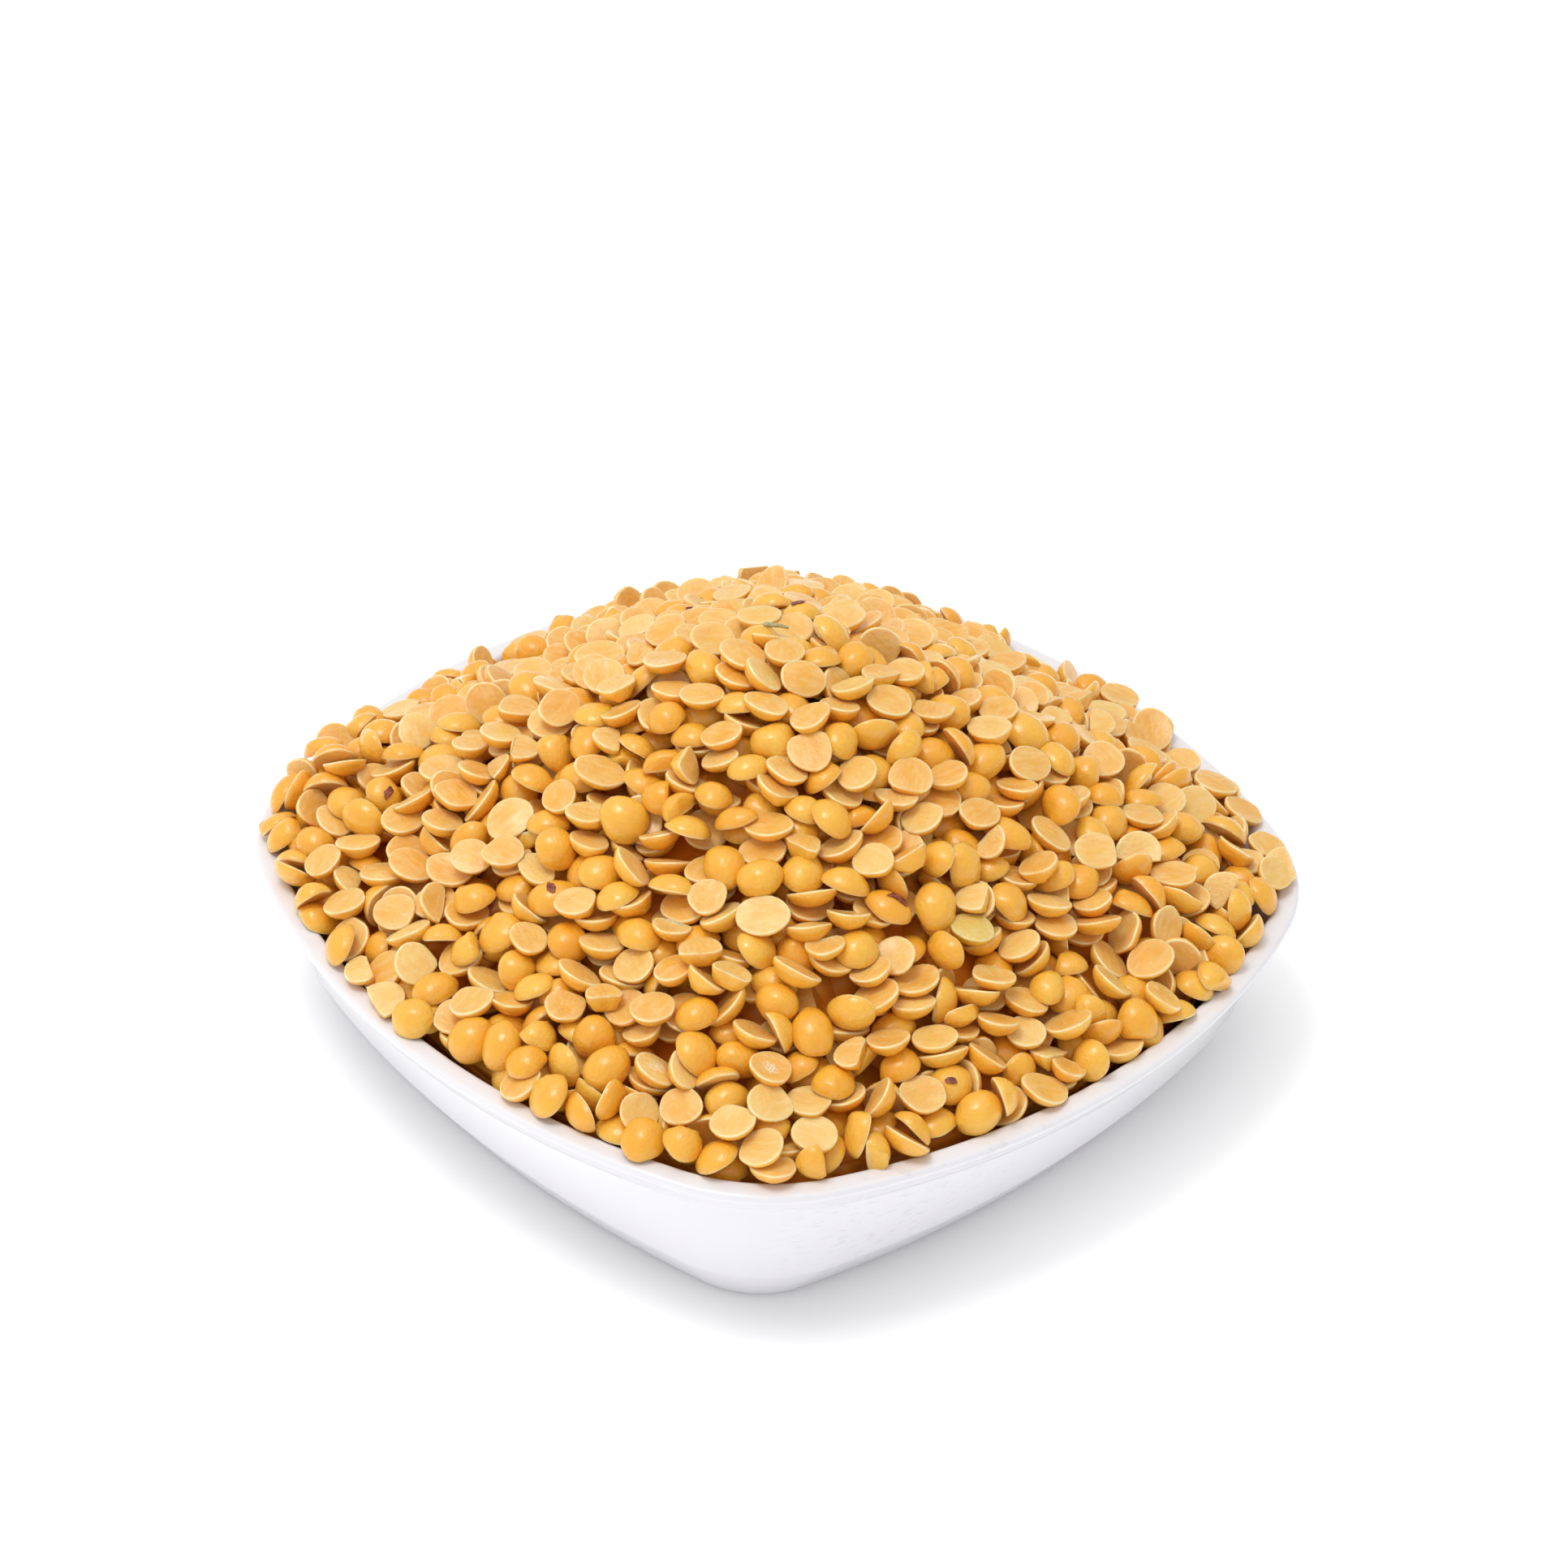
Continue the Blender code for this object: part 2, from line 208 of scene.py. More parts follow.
class NodeSheet:
    """Adds nodes to one tree and links them."""

    def __init__(self, tree: bpy.types.NodeTree) -> None:
        """Keep the tree that the nodes go into."""
        self.tree = tree

    def add(self, kind: str, **settings: object) -> bpy.types.Node:
        """Add a node.

        Args:
            kind: Blender's name of the node's type.
            **settings: Properties of the node.

        Returns:
            The new node.
        """
        node = self.tree.nodes.new(kind)
        for key, value in settings.items():
            setattr(node, key, value)
        return node

    def join(self, source: bpy.types.NodeSocket, target: bpy.types.NodeSocket) -> None:
        """Link one socket to another."""
        self.tree.links.new(source, target)

    def attribute(self, name: str) -> bpy.types.Node:
        """A node that reads one of the mesh's own attributes."""
        return self.add("ShaderNodeAttribute", attribute_name=name)

    def maths(self, operation: str, first: object, second: object) -> bpy.types.NodeSocket:
        """The result of a sum on two sockets or numbers.

        Args:
            operation: Blender's name of the sum.
            first: Socket or number.
            second: Socket or number.

        Returns:
            The result's socket.
        """
        node = self.add("ShaderNodeMath", operation=operation)
        for place, value in enumerate((first, second)):
            self.feed(node.inputs[place], value)
        return node.outputs[0]

    def product(self, first: object, *others: object) -> bpy.types.NodeSocket:
        """The product of sockets and numbers."""
        result = first
        for other in others:
            result = self.maths("MULTIPLY", result, other)
        return result

    def vector_maths(self, operation: str, *values: object) -> bpy.types.NodeSocket:
        """The result of a sum on vectors.

        Args:
            operation: Blender's name of the sum.
            *values: Sockets or vectors that it works on.

        Returns:
            The result's first socket.
        """
        node = self.add("ShaderNodeVectorMath", operation=operation)
        for place, value in enumerate(values):
            self.feed(node.inputs[place], value)
        return node.outputs[0]

    def vector_measure(self, operation: str, *values: object) -> bpy.types.NodeSocket:
        """A number that is worked out from vectors, such as a length."""
        return self.vector_maths(operation, *values).node.outputs["Value"]

    def mix(
        self, factor: object, first: object, second: object, blend: str = "MIX"
    ) -> bpy.types.NodeSocket:
        """A mix of two colours.

        Args:
            factor: Socket or number that says how much of the second shows.
            first: Socket or colour under it.
            second: Socket or colour over it.
            blend: Blender's name of the blend type.

        Returns:
            The mixed colour's socket.
        """
        node = self.add("ShaderNodeMix", data_type="RGBA", blend_type=blend)
        colour_inputs = [socket for socket in node.inputs if socket.type == "RGBA"]
        self.feed(node.inputs["Factor"], factor)
        self.feed(colour_inputs[0], first)
        self.feed(colour_inputs[1], second)
        return next(socket for socket in node.outputs if socket.type == "RGBA")

    def spread(
        self,
        value: object,
        low: object,
        high: object,
        out_low: float,
        out_high: float,
        interpolation: str = "LINEAR",
    ) -> bpy.types.NodeSocket:
        """A value's range moved to another range, and held within it.

        Args:
            value: Socket that gives the value.
            low: Lower end of its range, as a number or socket.
            high: Upper end of its range, as a number or socket.
            out_low: What the lower end becomes.
            out_high: What the upper end becomes.
            interpolation: Blender's name of the way between the ends.

        Returns:
            The new value's socket.
        """
        node = self.add("ShaderNodeMapRange", interpolation_type=interpolation)
        names = ("Value", "From Min", "From Max", "To Min", "To Max")
        for name, number in zip(names, (value, low, high, out_low, out_high)):
            self.feed(node.inputs[name], number)
        return node.outputs["Result"]

    def object_place(self) -> bpy.types.NodeSocket:
        """The place on the object, in its own measure."""
        return self.add("ShaderNodeTexCoord").outputs["Object"]

    def noise(
        self, place: bpy.types.NodeSocket, scale: object, detail: float, roughness: float = 0.5
    ) -> bpy.types.NodeSocket:
        """A cloudy noise over a place."""
        node = self.add("ShaderNodeTexNoise")
        self.join(place, node.inputs["Vector"])
        self.feed(node.inputs["Scale"], scale)
        node.inputs["Detail"].default_value = detail
        node.inputs["Roughness"].default_value = roughness
        return node.outputs["Fac"]

    def cells(
        self, place: bpy.types.NodeSocket, scale: object, **settings: object
    ) -> bpy.types.NodeSocket:
        """Distance to the nearest of some scattered points, or what the settings make of it."""
        node = self.add("ShaderNodeTexVoronoi", **settings)
        self.join(place, node.inputs["Vector"])
        self.feed(node.inputs["Scale"], scale)
        return node.outputs["Distance"]

    def bump(
        self,
        height: bpy.types.NodeSocket,
        strength: float,
        distance: float,
        under: bpy.types.NodeSocket | None = None,
        invert: bool = False,
    ) -> bpy.types.NodeSocket:
        """A normal that follows a height.

        Args:
            height: Socket of the height, from 0 to 1.
            strength: How much of the relief shows.
            distance: Height at 1, in metres.
            under: Normal that the relief is laid on.
            invert: Whether 1 is the bottom of a hollow.

        Returns:
            The normal's socket.
        """
        node = self.add("ShaderNodeBump", invert=invert)
        node.inputs["Strength"].default_value = strength
        node.inputs["Distance"].default_value = distance
        self.join(height, node.inputs["Height"])
        if under is not None:
            self.join(under, node.inputs["Normal"])
        return node.outputs["Normal"]

    def feed(self, socket: bpy.types.NodeSocket, value: object) -> None:
        """Link a socket, or set a number or a colour on it."""
        if isinstance(value, bpy.types.NodeSocket):
            self.join(value, socket)
        elif isinstance(value, tuple) and socket.type == "RGBA":
            socket.default_value = (*value, 1.0)
        else:
            socket.default_value = value


def mask_group(
    name: str, **numbers: float
) -> tuple[NodeSheet, bpy.types.bpy_prop_collection, bpy.types.NodeSocket]:
    """An empty node group that takes a place and some numbers and gives a mask.

    Args:
        name: Name of the group.
        **numbers: Names of its number inputs, and what they are when nothing sets them.

    Returns:
        The group's node sheet, the sockets that it is given, and the socket that takes the mask.
    """
    tree = bpy.data.node_groups.new(name, "ShaderNodeTree")
    tree.interface.new_socket(name="Place", in_out="INPUT", socket_type="NodeSocketVector")
    for label, value in numbers.items():
        socket = tree.interface.new_socket(
            name=label, in_out="INPUT", socket_type="NodeSocketFloat"
        )
        socket.default_value = value
    tree.interface.new_socket(name="Mask", in_out="OUTPUT", socket_type="NodeSocketFloat")
    sheet = NodeSheet(tree)
    source = sheet.add("NodeGroupInput")
    sink = sheet.add("NodeGroupOutput")
    return sheet, source.outputs, sink.inputs["Mask"]


def soft_mottle_group() -> bpy.types.NodeTree:
    """A group that gives a soft cloudy mask, for grains, glaze and floor alike."""
    name = "soft_mottle"
    if name in bpy.data.node_groups:
        return bpy.data.node_groups[name]
    sheet, given, sink = mask_group(name, Scale=1.0, Low=0.35, High=0.65)
    noise = sheet.noise(given["Place"], given["Scale"], detail=2.0, roughness=0.55)
    mask = sheet.spread(noise, given["Low"], given["High"], 0.0, 1.0, "SMOOTHSTEP")
    sheet.join(mask, sink)
    return sheet.tree


def pits_group() -> bpy.types.NodeTree:
    """A group that gives a mask of small scattered pits."""
    name = "small_pits"
    if name in bpy.data.node_groups:
        return bpy.data.node_groups[name]
    sheet, given, sink = mask_group(name, Scale=5.0, Size=0.2)
    cells = sheet.cells(given["Place"], given["Scale"])
    sheet.join(sheet.spread(cells, 0.0, given["Size"], 1.0, 0.0, "SMOOTHSTEP"), sink)
    return sheet.tree


def placed_mask(
    sheet: NodeSheet, tree: bpy.types.NodeTree, **values: object
) -> bpy.types.NodeSocket:
    """The mask of a node group placed in a material.

    Args:
        sheet: The material's nodes.
        tree: The node group.
        **values: Numbers or sockets for its named inputs.

    Returns:
        The mask's socket.
    """
    node = sheet.add("ShaderNodeGroup", node_tree=tree)
    for name, value in values.items():
        sheet.feed(node.inputs[name], value)
    return node.outputs["Mask"]


def soft_mottle(
    sheet: NodeSheet, place: bpy.types.NodeSocket, scale: float, low: float, high: float
) -> bpy.types.NodeSocket:
    """The cloudy mask placed in a material.

    Args:
        sheet: The material's nodes.
        place: Place that the clouds follow.
        scale: How many clouds to a unit of that place.
        low: Noise below which the mask is 0.
        high: Noise above which the mask is 1.

    Returns:
        The mask's socket.
    """
    return placed_mask(sheet, soft_mottle_group(), Place=place, Scale=scale, Low=low, High=high)


def blank_material(name: str) -> tuple[bpy.types.Material, NodeSheet, bpy.types.Node]:
    """A new material with its node sheet and its Principled BSDF."""
    material = bpy.data.materials.new(name)
    material.use_nodes = True
    sheet = NodeSheet(material.node_tree)
    return material, sheet, material.node_tree.nodes["Principled BSDF"]


@dataclass(frozen=True)
class GrainSockets:
    """What several parts of the grains' material use."""

    place: bpy.types.NodeSocket
    own_place: bpy.types.NodeSocket
    tone: bpy.types.NodeSocket
    face: bpy.types.NodeSocket
    mottle: bpy.types.NodeSocket
    pits: bpy.types.NodeSocket


@dataclass(frozen=True)
class GrainFinish:
    """Skin of a split lentil: pale cut face, deeper domed back, glossy edge with a painted pale
    highlight line.
    """

    dome_deep: Colour = (0.91, 0.43, 0.030)
    dome_bright: Colour = (0.93, 0.53, 0.068)
    face_tan: Colour = (0.86, 0.44, 0.060)
    face_pale: Colour = (0.90, 0.59, 0.175)
    # Pale colour of the face's streaks, and of the painted highlight along the edge and towards it
    pale_streak_and_edge_highlight: Colour = (1.0, 0.84, 0.50)
    # Darker tone for the random mottle, and painted shade in the pits
    shade: Colour = (0.92, 0.74, 0.48)
    odd_tone: Colour = (0.84, 0.95, 0.80)
    chalk: Colour = (0.94, 0.87, 0.74)
    dome_roughness: float = 0.27
    face_roughness: float = 0.32
    dome_coat: float = 0.60
    face_coat: float = 0.45
    coat_roughness: float = 0.22
    glow_weight: float = 0.28
    glow_radius: Colour = (1.0, 0.40, 0.08)
    glow_scale: float = 0.0017
    pit_depth: float = 0.00006
    grain_depth: float = 0.00012
    chalky: bool = False

    def _chalk(
        self, sheet: NodeSheet, base: GrainSockets, under: bpy.types.NodeSocket
    ) -> bpy.types.NodeSocket:
        """Lay a cracked white middle on the cut face.

        Args:
            sheet: The material's nodes.
            base: Sockets of the grain.
            under: Colour below.

        Returns:
            The new colour.
        """
        flat_place = sheet.vector_maths("MULTIPLY", base.place, (1.0, 1.25, 0.0))
        out = sheet.vector_measure("LENGTH", flat_place)
        middle = sheet.spread(out, 0.22, 0.52, 0.9, 0.0)
        cracks = sheet.cells(base.place, 5.0, feature="DISTANCE_TO_EDGE")
        lines = sheet.spread(cracks, 0.02, 0.11, 1.0, 0.15)
        return sheet.mix(sheet.product(middle, lines, base.face), under, self.chalk)

    def _colour(self, sheet: NodeSheet, base: GrainSockets) -> bpy.types.NodeSocket:
        """The grain's own tone, then mottle, streaks, painted shade in the pits, and a painted
        highlight along and towards its edge.

        Args:
            sheet: The material's nodes.
            base: Sockets of the grain.

        Returns:
            The colour.
        """
        parts = sheet.add("ShaderNodeSeparateXYZ")
        sheet.join(base.tone, parts.inputs[0])
        dome = sheet.mix(parts.outputs["X"], self.dome_deep, self.dome_bright)
        paleness = sheet.maths("POWER", parts.outputs["Y"], 1.6)
        cut = sheet.mix(paleness, self.face_tan, self.face_pale)
        body = sheet.mix(base.face, dome, cut)
        mottled = sheet.mix(sheet.product(base.mottle, 0.40), body, self.shade, "MULTIPLY")
        streak_place = sheet.vector_maths("MULTIPLY", base.own_place, (1.0, 3.0, 1.0))
        streaks = soft_mottle(sheet, streak_place, 1.3, 0.40, 0.75)
        streaked = sheet.mix(sheet.product(streaks, base.face, 0.24), mottled, self.pale_streak_and_edge_highlight)
        # Darker in the pits: painted shade in the small hollows
        pitted = sheet.mix(sheet.product(base.pits, 0.35), streaked, self.shade, "MULTIPLY")
        # Lighter towards the cut face's edge: a painted highlight that widens the edge line
        flat_place = sheet.vector_maths("MULTIPLY", base.place, (1.0, 1.1, 0.0))
        out = sheet.vector_measure("LENGTH", flat_place)
        towards_edge = sheet.spread(out, 0.35, 0.95, 0.0, 0.14)
        paler = sheet.mix(sheet.product(towards_edge, base.face), pitted, self.pale_streak_and_edge_highlight)
        # Painted highlight along the edge between face and dome, shown in patches
        edge_highlight_patches = soft_mottle(sheet, base.own_place, 1.1, 0.35, 0.60)
        edge_highlight_amount = sheet.spread(edge_highlight_patches, 0.0, 1.0, 0.40, 0.95)
        edge = sheet.attribute("edge_highlight_share").outputs["Fac"]
        edge_highlighted = sheet.mix(sheet.product(edge, edge_highlight_amount), paler, self.pale_streak_and_edge_highlight)
        green = sheet.maths("COMPARE", parts.outputs["Z"], GREEN_TONE)
        green.node.inputs[2].default_value = 0.03
        greened = sheet.mix(green, edge_highlighted, self.odd_tone, "MULTIPLY")
        return self._chalk(sheet, base, greened) if self.chalky else greened

    def build(self) -> bpy.types.Material:
        """Make the material."""
        name = "chalky_lentil_skin" if self.chalky else "split_lentil_skin"
        material, sheet, shader = blank_material(name)
        place = sheet.attribute("grain_place").outputs["Vector"]
        tone = sheet.attribute("grain_tone").outputs["Vector"]
        face = sheet.attribute("face_share").outputs["Fac"]
        own_place = sheet.vector_maths("MULTIPLY_ADD", tone, (19.0, 23.0, 29.0), place)
        mottle = soft_mottle(sheet, own_place, 1.4, 0.38, 0.72)
        pits = placed_mask(sheet, pits_group(), Place=own_place, Scale=5.5, Size=0.22)
        dome_pits = sheet.product(pits, sheet.maths("SUBTRACT", 1.0, face))
        base = GrainSockets(place, own_place, tone, face, mottle, dome_pits)
        sheet.join(self._colour(sheet, base), shader.inputs["Base Color"])
        rough = sheet.spread(face, 0.0, 1.0, self.dome_roughness, self.face_roughness)
        rough = sheet.maths("ADD", rough, sheet.product(mottle, 0.10))
        fine = sheet.noise(own_place, 5.0, detail=1.5)
        unevenness = sheet.spread(fine, 0.3, 0.7, -0.08, 0.14)
        sheet.join(sheet.maths("ADD", rough, unevenness), shader.inputs["Roughness"])
        shader.inputs["Subsurface Weight"].default_value = self.glow_weight
        shader.inputs["Subsurface Radius"].default_value = self.glow_radius
        shader.inputs["Subsurface Scale"].default_value = self.glow_scale
        shader.inputs["IOR"].default_value = 1.41
        coat = sheet.spread(face, 0.0, 1.0, self.dome_coat, self.face_coat)
        sheet.join(coat, shader.inputs["Coat Weight"])
        shader.inputs["Coat Roughness"].default_value = self.coat_roughness
        grain = sheet.bump(fine, 0.90, self.grain_depth)
        pitted_grain = sheet.bump(dome_pits, 0.6, self.pit_depth, under=grain, invert=True)
        sheet.join(pitted_grain, shader.inputs["Normal"])
        return material


@dataclass(frozen=True)
class CoreFinish:
    """Painted shade between the grains, on a core rounded like the grains that lie there."""

    # The deep colour is painted shade in the gaps; warm is near the grains' own colour
    deep: Colour = (0.80, 0.24, 0.006)
    warm: Colour = (0.91, 0.42, 0.04)
    roughness: float = 0.45
    cells_per_metre: float = 195.0
    relief: float = 0.0022

    def build(self) -> bpy.types.Material:
        """Make the material."""
        material, sheet, shader = blank_material("heap_core_with_painted_shade")
        cells = sheet.cells(sheet.object_place(), self.cells_per_metre)
        # Darker towards the cells' edges: painted shade between the rounded cells
        crown = sheet.spread(cells, 0.10, 0.62, 1.0, 0.0)
        sheet.join(sheet.mix(crown, self.deep, self.warm), shader.inputs["Base Color"])
        shader.inputs["Roughness"].default_value = self.roughness
        sheet.join(sheet.bump(crown, 1.0, self.relief), shader.inputs["Normal"])
        return material


@dataclass(frozen=True)
class GlazeFinish:
    """Glossy white glaze, with a patch of faint grey rubs on one outer wall."""

    white: Colour = (0.845, 0.834, 0.864)
    rubbed: Colour = (0.70, 0.69, 0.70)
    roughness: float = 0.13
    rub_amount: float = 0.55
    rub_centre: tuple[float, float, float] = (0.0560, -0.0260, 0.0150)
    rub_radius: float = 0.024

    def build(self) -> bpy.types.Material:
        """Make the material."""
        material, sheet, shader = blank_material("white_glaze_skin")
        place = sheet.object_place()
        long_place = sheet.vector_maths("MULTIPLY", place, (1.0, 1.0, 3.5))
        rubs = soft_mottle(sheet, long_place, 520.0, 0.56, 0.68)
        away = sheet.vector_measure("DISTANCE", place, self.rub_centre)
        patch = sheet.spread(away, self.rub_radius * 0.35, self.rub_radius, 1.0, 0.0)
        share = sheet.product(rubs, patch, self.rub_amount)
        sheet.join(sheet.mix(share, self.white, self.rubbed), shader.inputs["Base Color"])
        shader.inputs["Roughness"].default_value = self.roughness
        shader.inputs["IOR"].default_value = 1.5
        ripple = sheet.bump(sheet.noise(place, 60.0, 2.0), 0.25, 0.0001)
        sheet.join(ripple, shader.inputs["Normal"])
        return material


@dataclass(frozen=True)
class DryBitFinish:
    """Dry plant skin, mottled between two colours: seed husk or stem."""

    name: str
    first: Colour
    second: Colour
    mottle_scale: float
    roughness: float

    def build(self) -> bpy.types.Material:
        """Make the material."""
        material, sheet, shader = blank_material(self.name)
        mask = soft_mottle(sheet, sheet.object_place(), self.mottle_scale, 0.35, 0.65)
        sheet.join(sheet.mix(mask, self.first, self.second), shader.inputs["Base Color"])
        shader.inputs["Roughness"].default_value = self.roughness
        return material


HUSK_SKIN = DryBitFinish("seed_husk", (0.13, 0.022, 0.014), (0.36, 0.085, 0.045), 1500.0, 0.42)
STEM_SKIN = DryBitFinish("dry_stem", (0.30, 0.30, 0.13), (0.52, 0.46, 0.26), 1800.0, 0.6)


@dataclass(frozen=True)
class FloorFinish:
    """Plain white studio floor with a painted glow of its own, which fades out towards the dish as
    a painted shadow round its foot.
    """

    white: Colour = (0.92, 0.92, 0.92)
    faint: Colour = (0.91, 0.91, 0.915)
    # Painted light: the floor glows, and glows less near the dish, where that paints a shadow
    painted_shade_near_dish: Colour = (0.07, 0.07, 0.07)
    painted_light_far_off: Colour = (0.36, 0.36, 0.36)
    glow_start: float = 0.046
    glow_end: float = 0.069

    def build(self) -> bpy.types.Material:
        """Make the material."""
        material, sheet, shader = blank_material("studio_floor")
        place = sheet.object_place()
        mask = soft_mottle(sheet, place, 6.0, 0.3, 0.7)
        sheet.join(sheet.mix(mask, self.white, self.faint), shader.inputs["Base Color"])
        shader.inputs["Roughness"].default_value = 0.8
        # Glow by distance from the dish: painted shadow near its foot, painted light further off
        squares = sheet.vector_maths("MULTIPLY", place, place)
        fourths = sheet.vector_maths("MULTIPLY", squares, squares)
        total = sheet.vector_measure("DOT_PRODUCT", fourths, (1.0, 1.0, 0.0))
        out = sheet.maths("POWER", total, 0.25)
        share = sheet.spread(out, self.glow_start, self.glow_end, 0.0, 1.0)
        glow = sheet.mix(share, self.painted_shade_near_dish, self.painted_light_far_off)
        sheet.join(glow, shader.inputs["Emission Color"])
        shader.inputs["Emission Strength"].default_value = 1.0
        return material


@dataclass(frozen=True)
class DishForm:
    """Sizes of the dish: width and height come from its solid."""

    rim: Outline
    rim_height: float
    rim_width: float = 0.0028
    lip_rounding: float = 0.0007
    band_height: float = 0.0037
    band_taper: float = 0.0019
    band_step: float = 0.0004
    turn: Outline = Outline(0.0501, 0.0173, 0.1390)
    turn_height: float = 0.0059
    turn_rounding: float = 0.0003
    base: Outline = Outline(0.0460, 0.0109, 0.1390)
    base_rounding: float = 0.0005
    wall_thickness: float = 0.0031
    floor_thickness: float = 0.0040
    floor_fillet: float = 0.0034
    support: float = 0.0006

    @classmethod
    def from_solid(cls, node: str) -> "DishForm":
        """Read the width and height of the dish's solid."""
        low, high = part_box(node)
        return cls(rim=Outline((high.x - low.x) / 2, 0.0253, 0.0946), rim_height=high.z)

    def mouth(self) -> Outline:
        """Inner edge of the rim."""
        return self.rim.inset(self.rim_width)

    def foot(self, height: float) -> Outline:
        """Outside of the strip between the base and the turn at one height."""
        return self.base.blend(self.turn, height / self.turn_height)

    def band(self, height: float) -> Outline:
        """Outside of the rim's band at one height."""
        band_foot = self.rim_height - self.band_height
        share = (height - band_foot) / (self.band_height - self.lip_rounding)
        return self.rim.inset(self.band_taper * (1 - share))

    def wall(self, height: float) -> Outline:
        """Outside of the flared wall at one height."""
        band_foot = self.rim_height - self.band_height
        share = (height - self.turn_height) / (band_foot - self.turn_height)
        return self.turn.blend(self.rim.inset(self.band_taper + self.band_step), share)


class Dish:
    """The dish: one smooth glazed shell."""

    side_steps = 28
    corner_steps = 22
    arc_steps = 5

    def __init__(self, form: DishForm) -> None:
        """Keep the dish's sizes."""
        self.form = form

    def _arc(self, start: tuple, corner: tuple, end: tuple) -> list[tuple[float, Outline]]:
        """Sections of a round edge between two sections, bent towards a third."""
        sections = []
        for step in range(self.arc_steps + 1):
            share = step / self.arc_steps
            turned = 2 * share * (1 - share)
            height = (1 - share) ** 2 * start[0] + turned * corner[0] + share**2 * end[0]
            first = start[1].blend(corner[1], share)
            second = corner[1].blend(end[1], share)
            sections.append((height, first.blend(second, share)))
        return sections

    def _sections(self) -> list[tuple[float, Outline]]:
        """Height and outline of every ring, from the base's middle outwards and in again."""
        form = self.form
        top = form.rim_height
        foot = top - form.band_height
        rounding = form.lip_rounding
        slope = (form.turn.half_side - form.base.half_side) / form.turn_height
        low = form.base_rounding
        near_turn = form.turn_height - form.turn_rounding
        over_turn = form.turn_height + form.turn_rounding
        sections = self._arc(
            (0.0, form.base.inset(low)),
            (0.0, form.base),
            (low, form.base.inset(-low * slope)),
        )
        for height in (low + form.support, near_turn - form.support):
            sections.append((height, form.foot(height)))
        sections += self._arc(
            (near_turn, form.foot(near_turn)),
            (form.turn_height, form.turn),
            (over_turn, form.wall(over_turn)),
        )
        crease = foot - form.band_step
        below_crease = crease - form.band_step
        for height in (over_turn + form.support, below_crease - form.support):
            sections.append((height, form.wall(height)))
        sections += self._arc(
            (below_crease, form.wall(below_crease)),
            (crease, form.wall(crease)),
            (foot, form.rim.inset(form.band_taper)),
        )
        for height in (foot + form.support, top - rounding - form.support):
            sections.append((height, form.band(height)))
        sections += self._arc(
            (top - rounding, form.rim),
            (top, form.rim),
            (top, form.rim.inset(rounding)),
        )
        mouth = form.mouth()
        sections += self._arc(
            (top, mouth.inset(-rounding)),
            (top, mouth),
            (top - rounding, mouth.inset(rounding * 0.3)),
        )
        fillet_top = form.floor_thickness + form.floor_fillet
        fillet = form.wall(fillet_top).inset(form.wall_thickness)
        middle_height = (top + form.turn_height) / 2
        sections.append((middle_height, form.wall(middle_height).inset(form.wall_thickness)))
        sections += self._arc(
            (fillet_top, fillet),
            (form.floor_thickness, fillet.inset(form.floor_fillet * 0.3)),
            (form.floor_thickness, fillet.inset(form.floor_fillet)),
        )
        return sections

    def build(self) -> bpy.types.Object:
        """Make the glazed shell."""
        rings = []
        for height, outline in self._sections():
            flat = outline.points(self.side_steps, self.corner_steps)
            rings.append(np.column_stack([flat, np.full(len(flat), height)]))
        piece = object_from_rings("glazed_dish", rings)
        piece.data.materials.append(GlazeFinish().build())
        register(piece, "dish")
        return piece


@dataclass(frozen=True)
class HeapForm:
    """The heap's even surface: a cone with a rounded tip, and a few lumps."""

    mouth: Outline
    edge_height: float = 0.0237
    rise: float = 0.0298
    rounding: float = 0.25
    core_depth: float = 0.0066
    core_rim_lift: float = 0.0034
    core_lift_start: float = 0.80
    core_lift_width: float = 0.20
    lumps: tuple = (
        (-0.0460, -0.0360, 0.0038, 0.0095),
        (0.0090, 0.0520, 0.0020, 0.0080),
        (-0.0330, 0.0220, 0.0012, 0.0110),
        (0.0290, -0.0120, 0.0010, 0.0120),
    )

    def height(self, x: np.ndarray, y: np.ndarray) -> np.ndarray:
        """Height of the surface over each place."""
        share = np.minimum(self.mouth.share_of(x, y), 1.0)
        far = math.hypot(1, self.rounding)
        fall = (far - np.hypot(share, self.rounding)) / (far - self.rounding)
        height = self.edge_height + self.rise * fall
        for lump_x, lump_y, lump_height, lump_radius in self.lumps:
            away = np.hypot(x - lump_x, y - lump_y) / lump_radius
            height = height + lump_height * np.exp(-(away**2))
        return height

    def core_height(self, x: np.ndarray, y: np.ndarray) -> np.ndarray:
        """Height of the core under the loose grains: nearer the surface by the rim."""
        past_start = self.mouth.share_of(x, y) - self.core_lift_start
        by_rim = np.clip(past_start / self.core_lift_width, 0, 1)
        return self.height(x, y) - self.core_depth + self.core_rim_lift * by_rim

    def normal(self, x: float, y: float) -> np.ndarray:
        """Direction that the surface faces at one place."""
        step = 0.0015
        around_x = self.height(np.array([x + step, x - step]), np.array([y, y]))
        around_y = self.height(np.array([x, x]), np.array([y + step, y - step]))
        slope_x = (around_x[0] - around_x[1]) / (2 * step)
        slope_y = (around_y[0] - around_y[1]) / (2 * step)
        facing = np.array([-slope_x, -slope_y, 1.0])
        return facing / np.linalg.norm(facing)


class GrainKind(Enum):
    """The kinds of grain in the heap, each of which becomes one piece."""

    ROUND = "round_halves"
    OVAL = "oval_halves"
    CLIPPED = "clipped_halves"
    BROKEN = "broken_halves"
    WRINKLED = "wrinkled_halves"
    WHOLE = "whole_grains"


@dataclass(frozen=True)
class GrainHabit:
    """How the grains of one kind vary."""

    share: float
    length: tuple[float, float]
    slimness: tuple[float, float]
    thickness: tuple[float, float]
    clip: tuple[float, float] = (1.2, 1.4)
    wrinkle: float = 0.00007


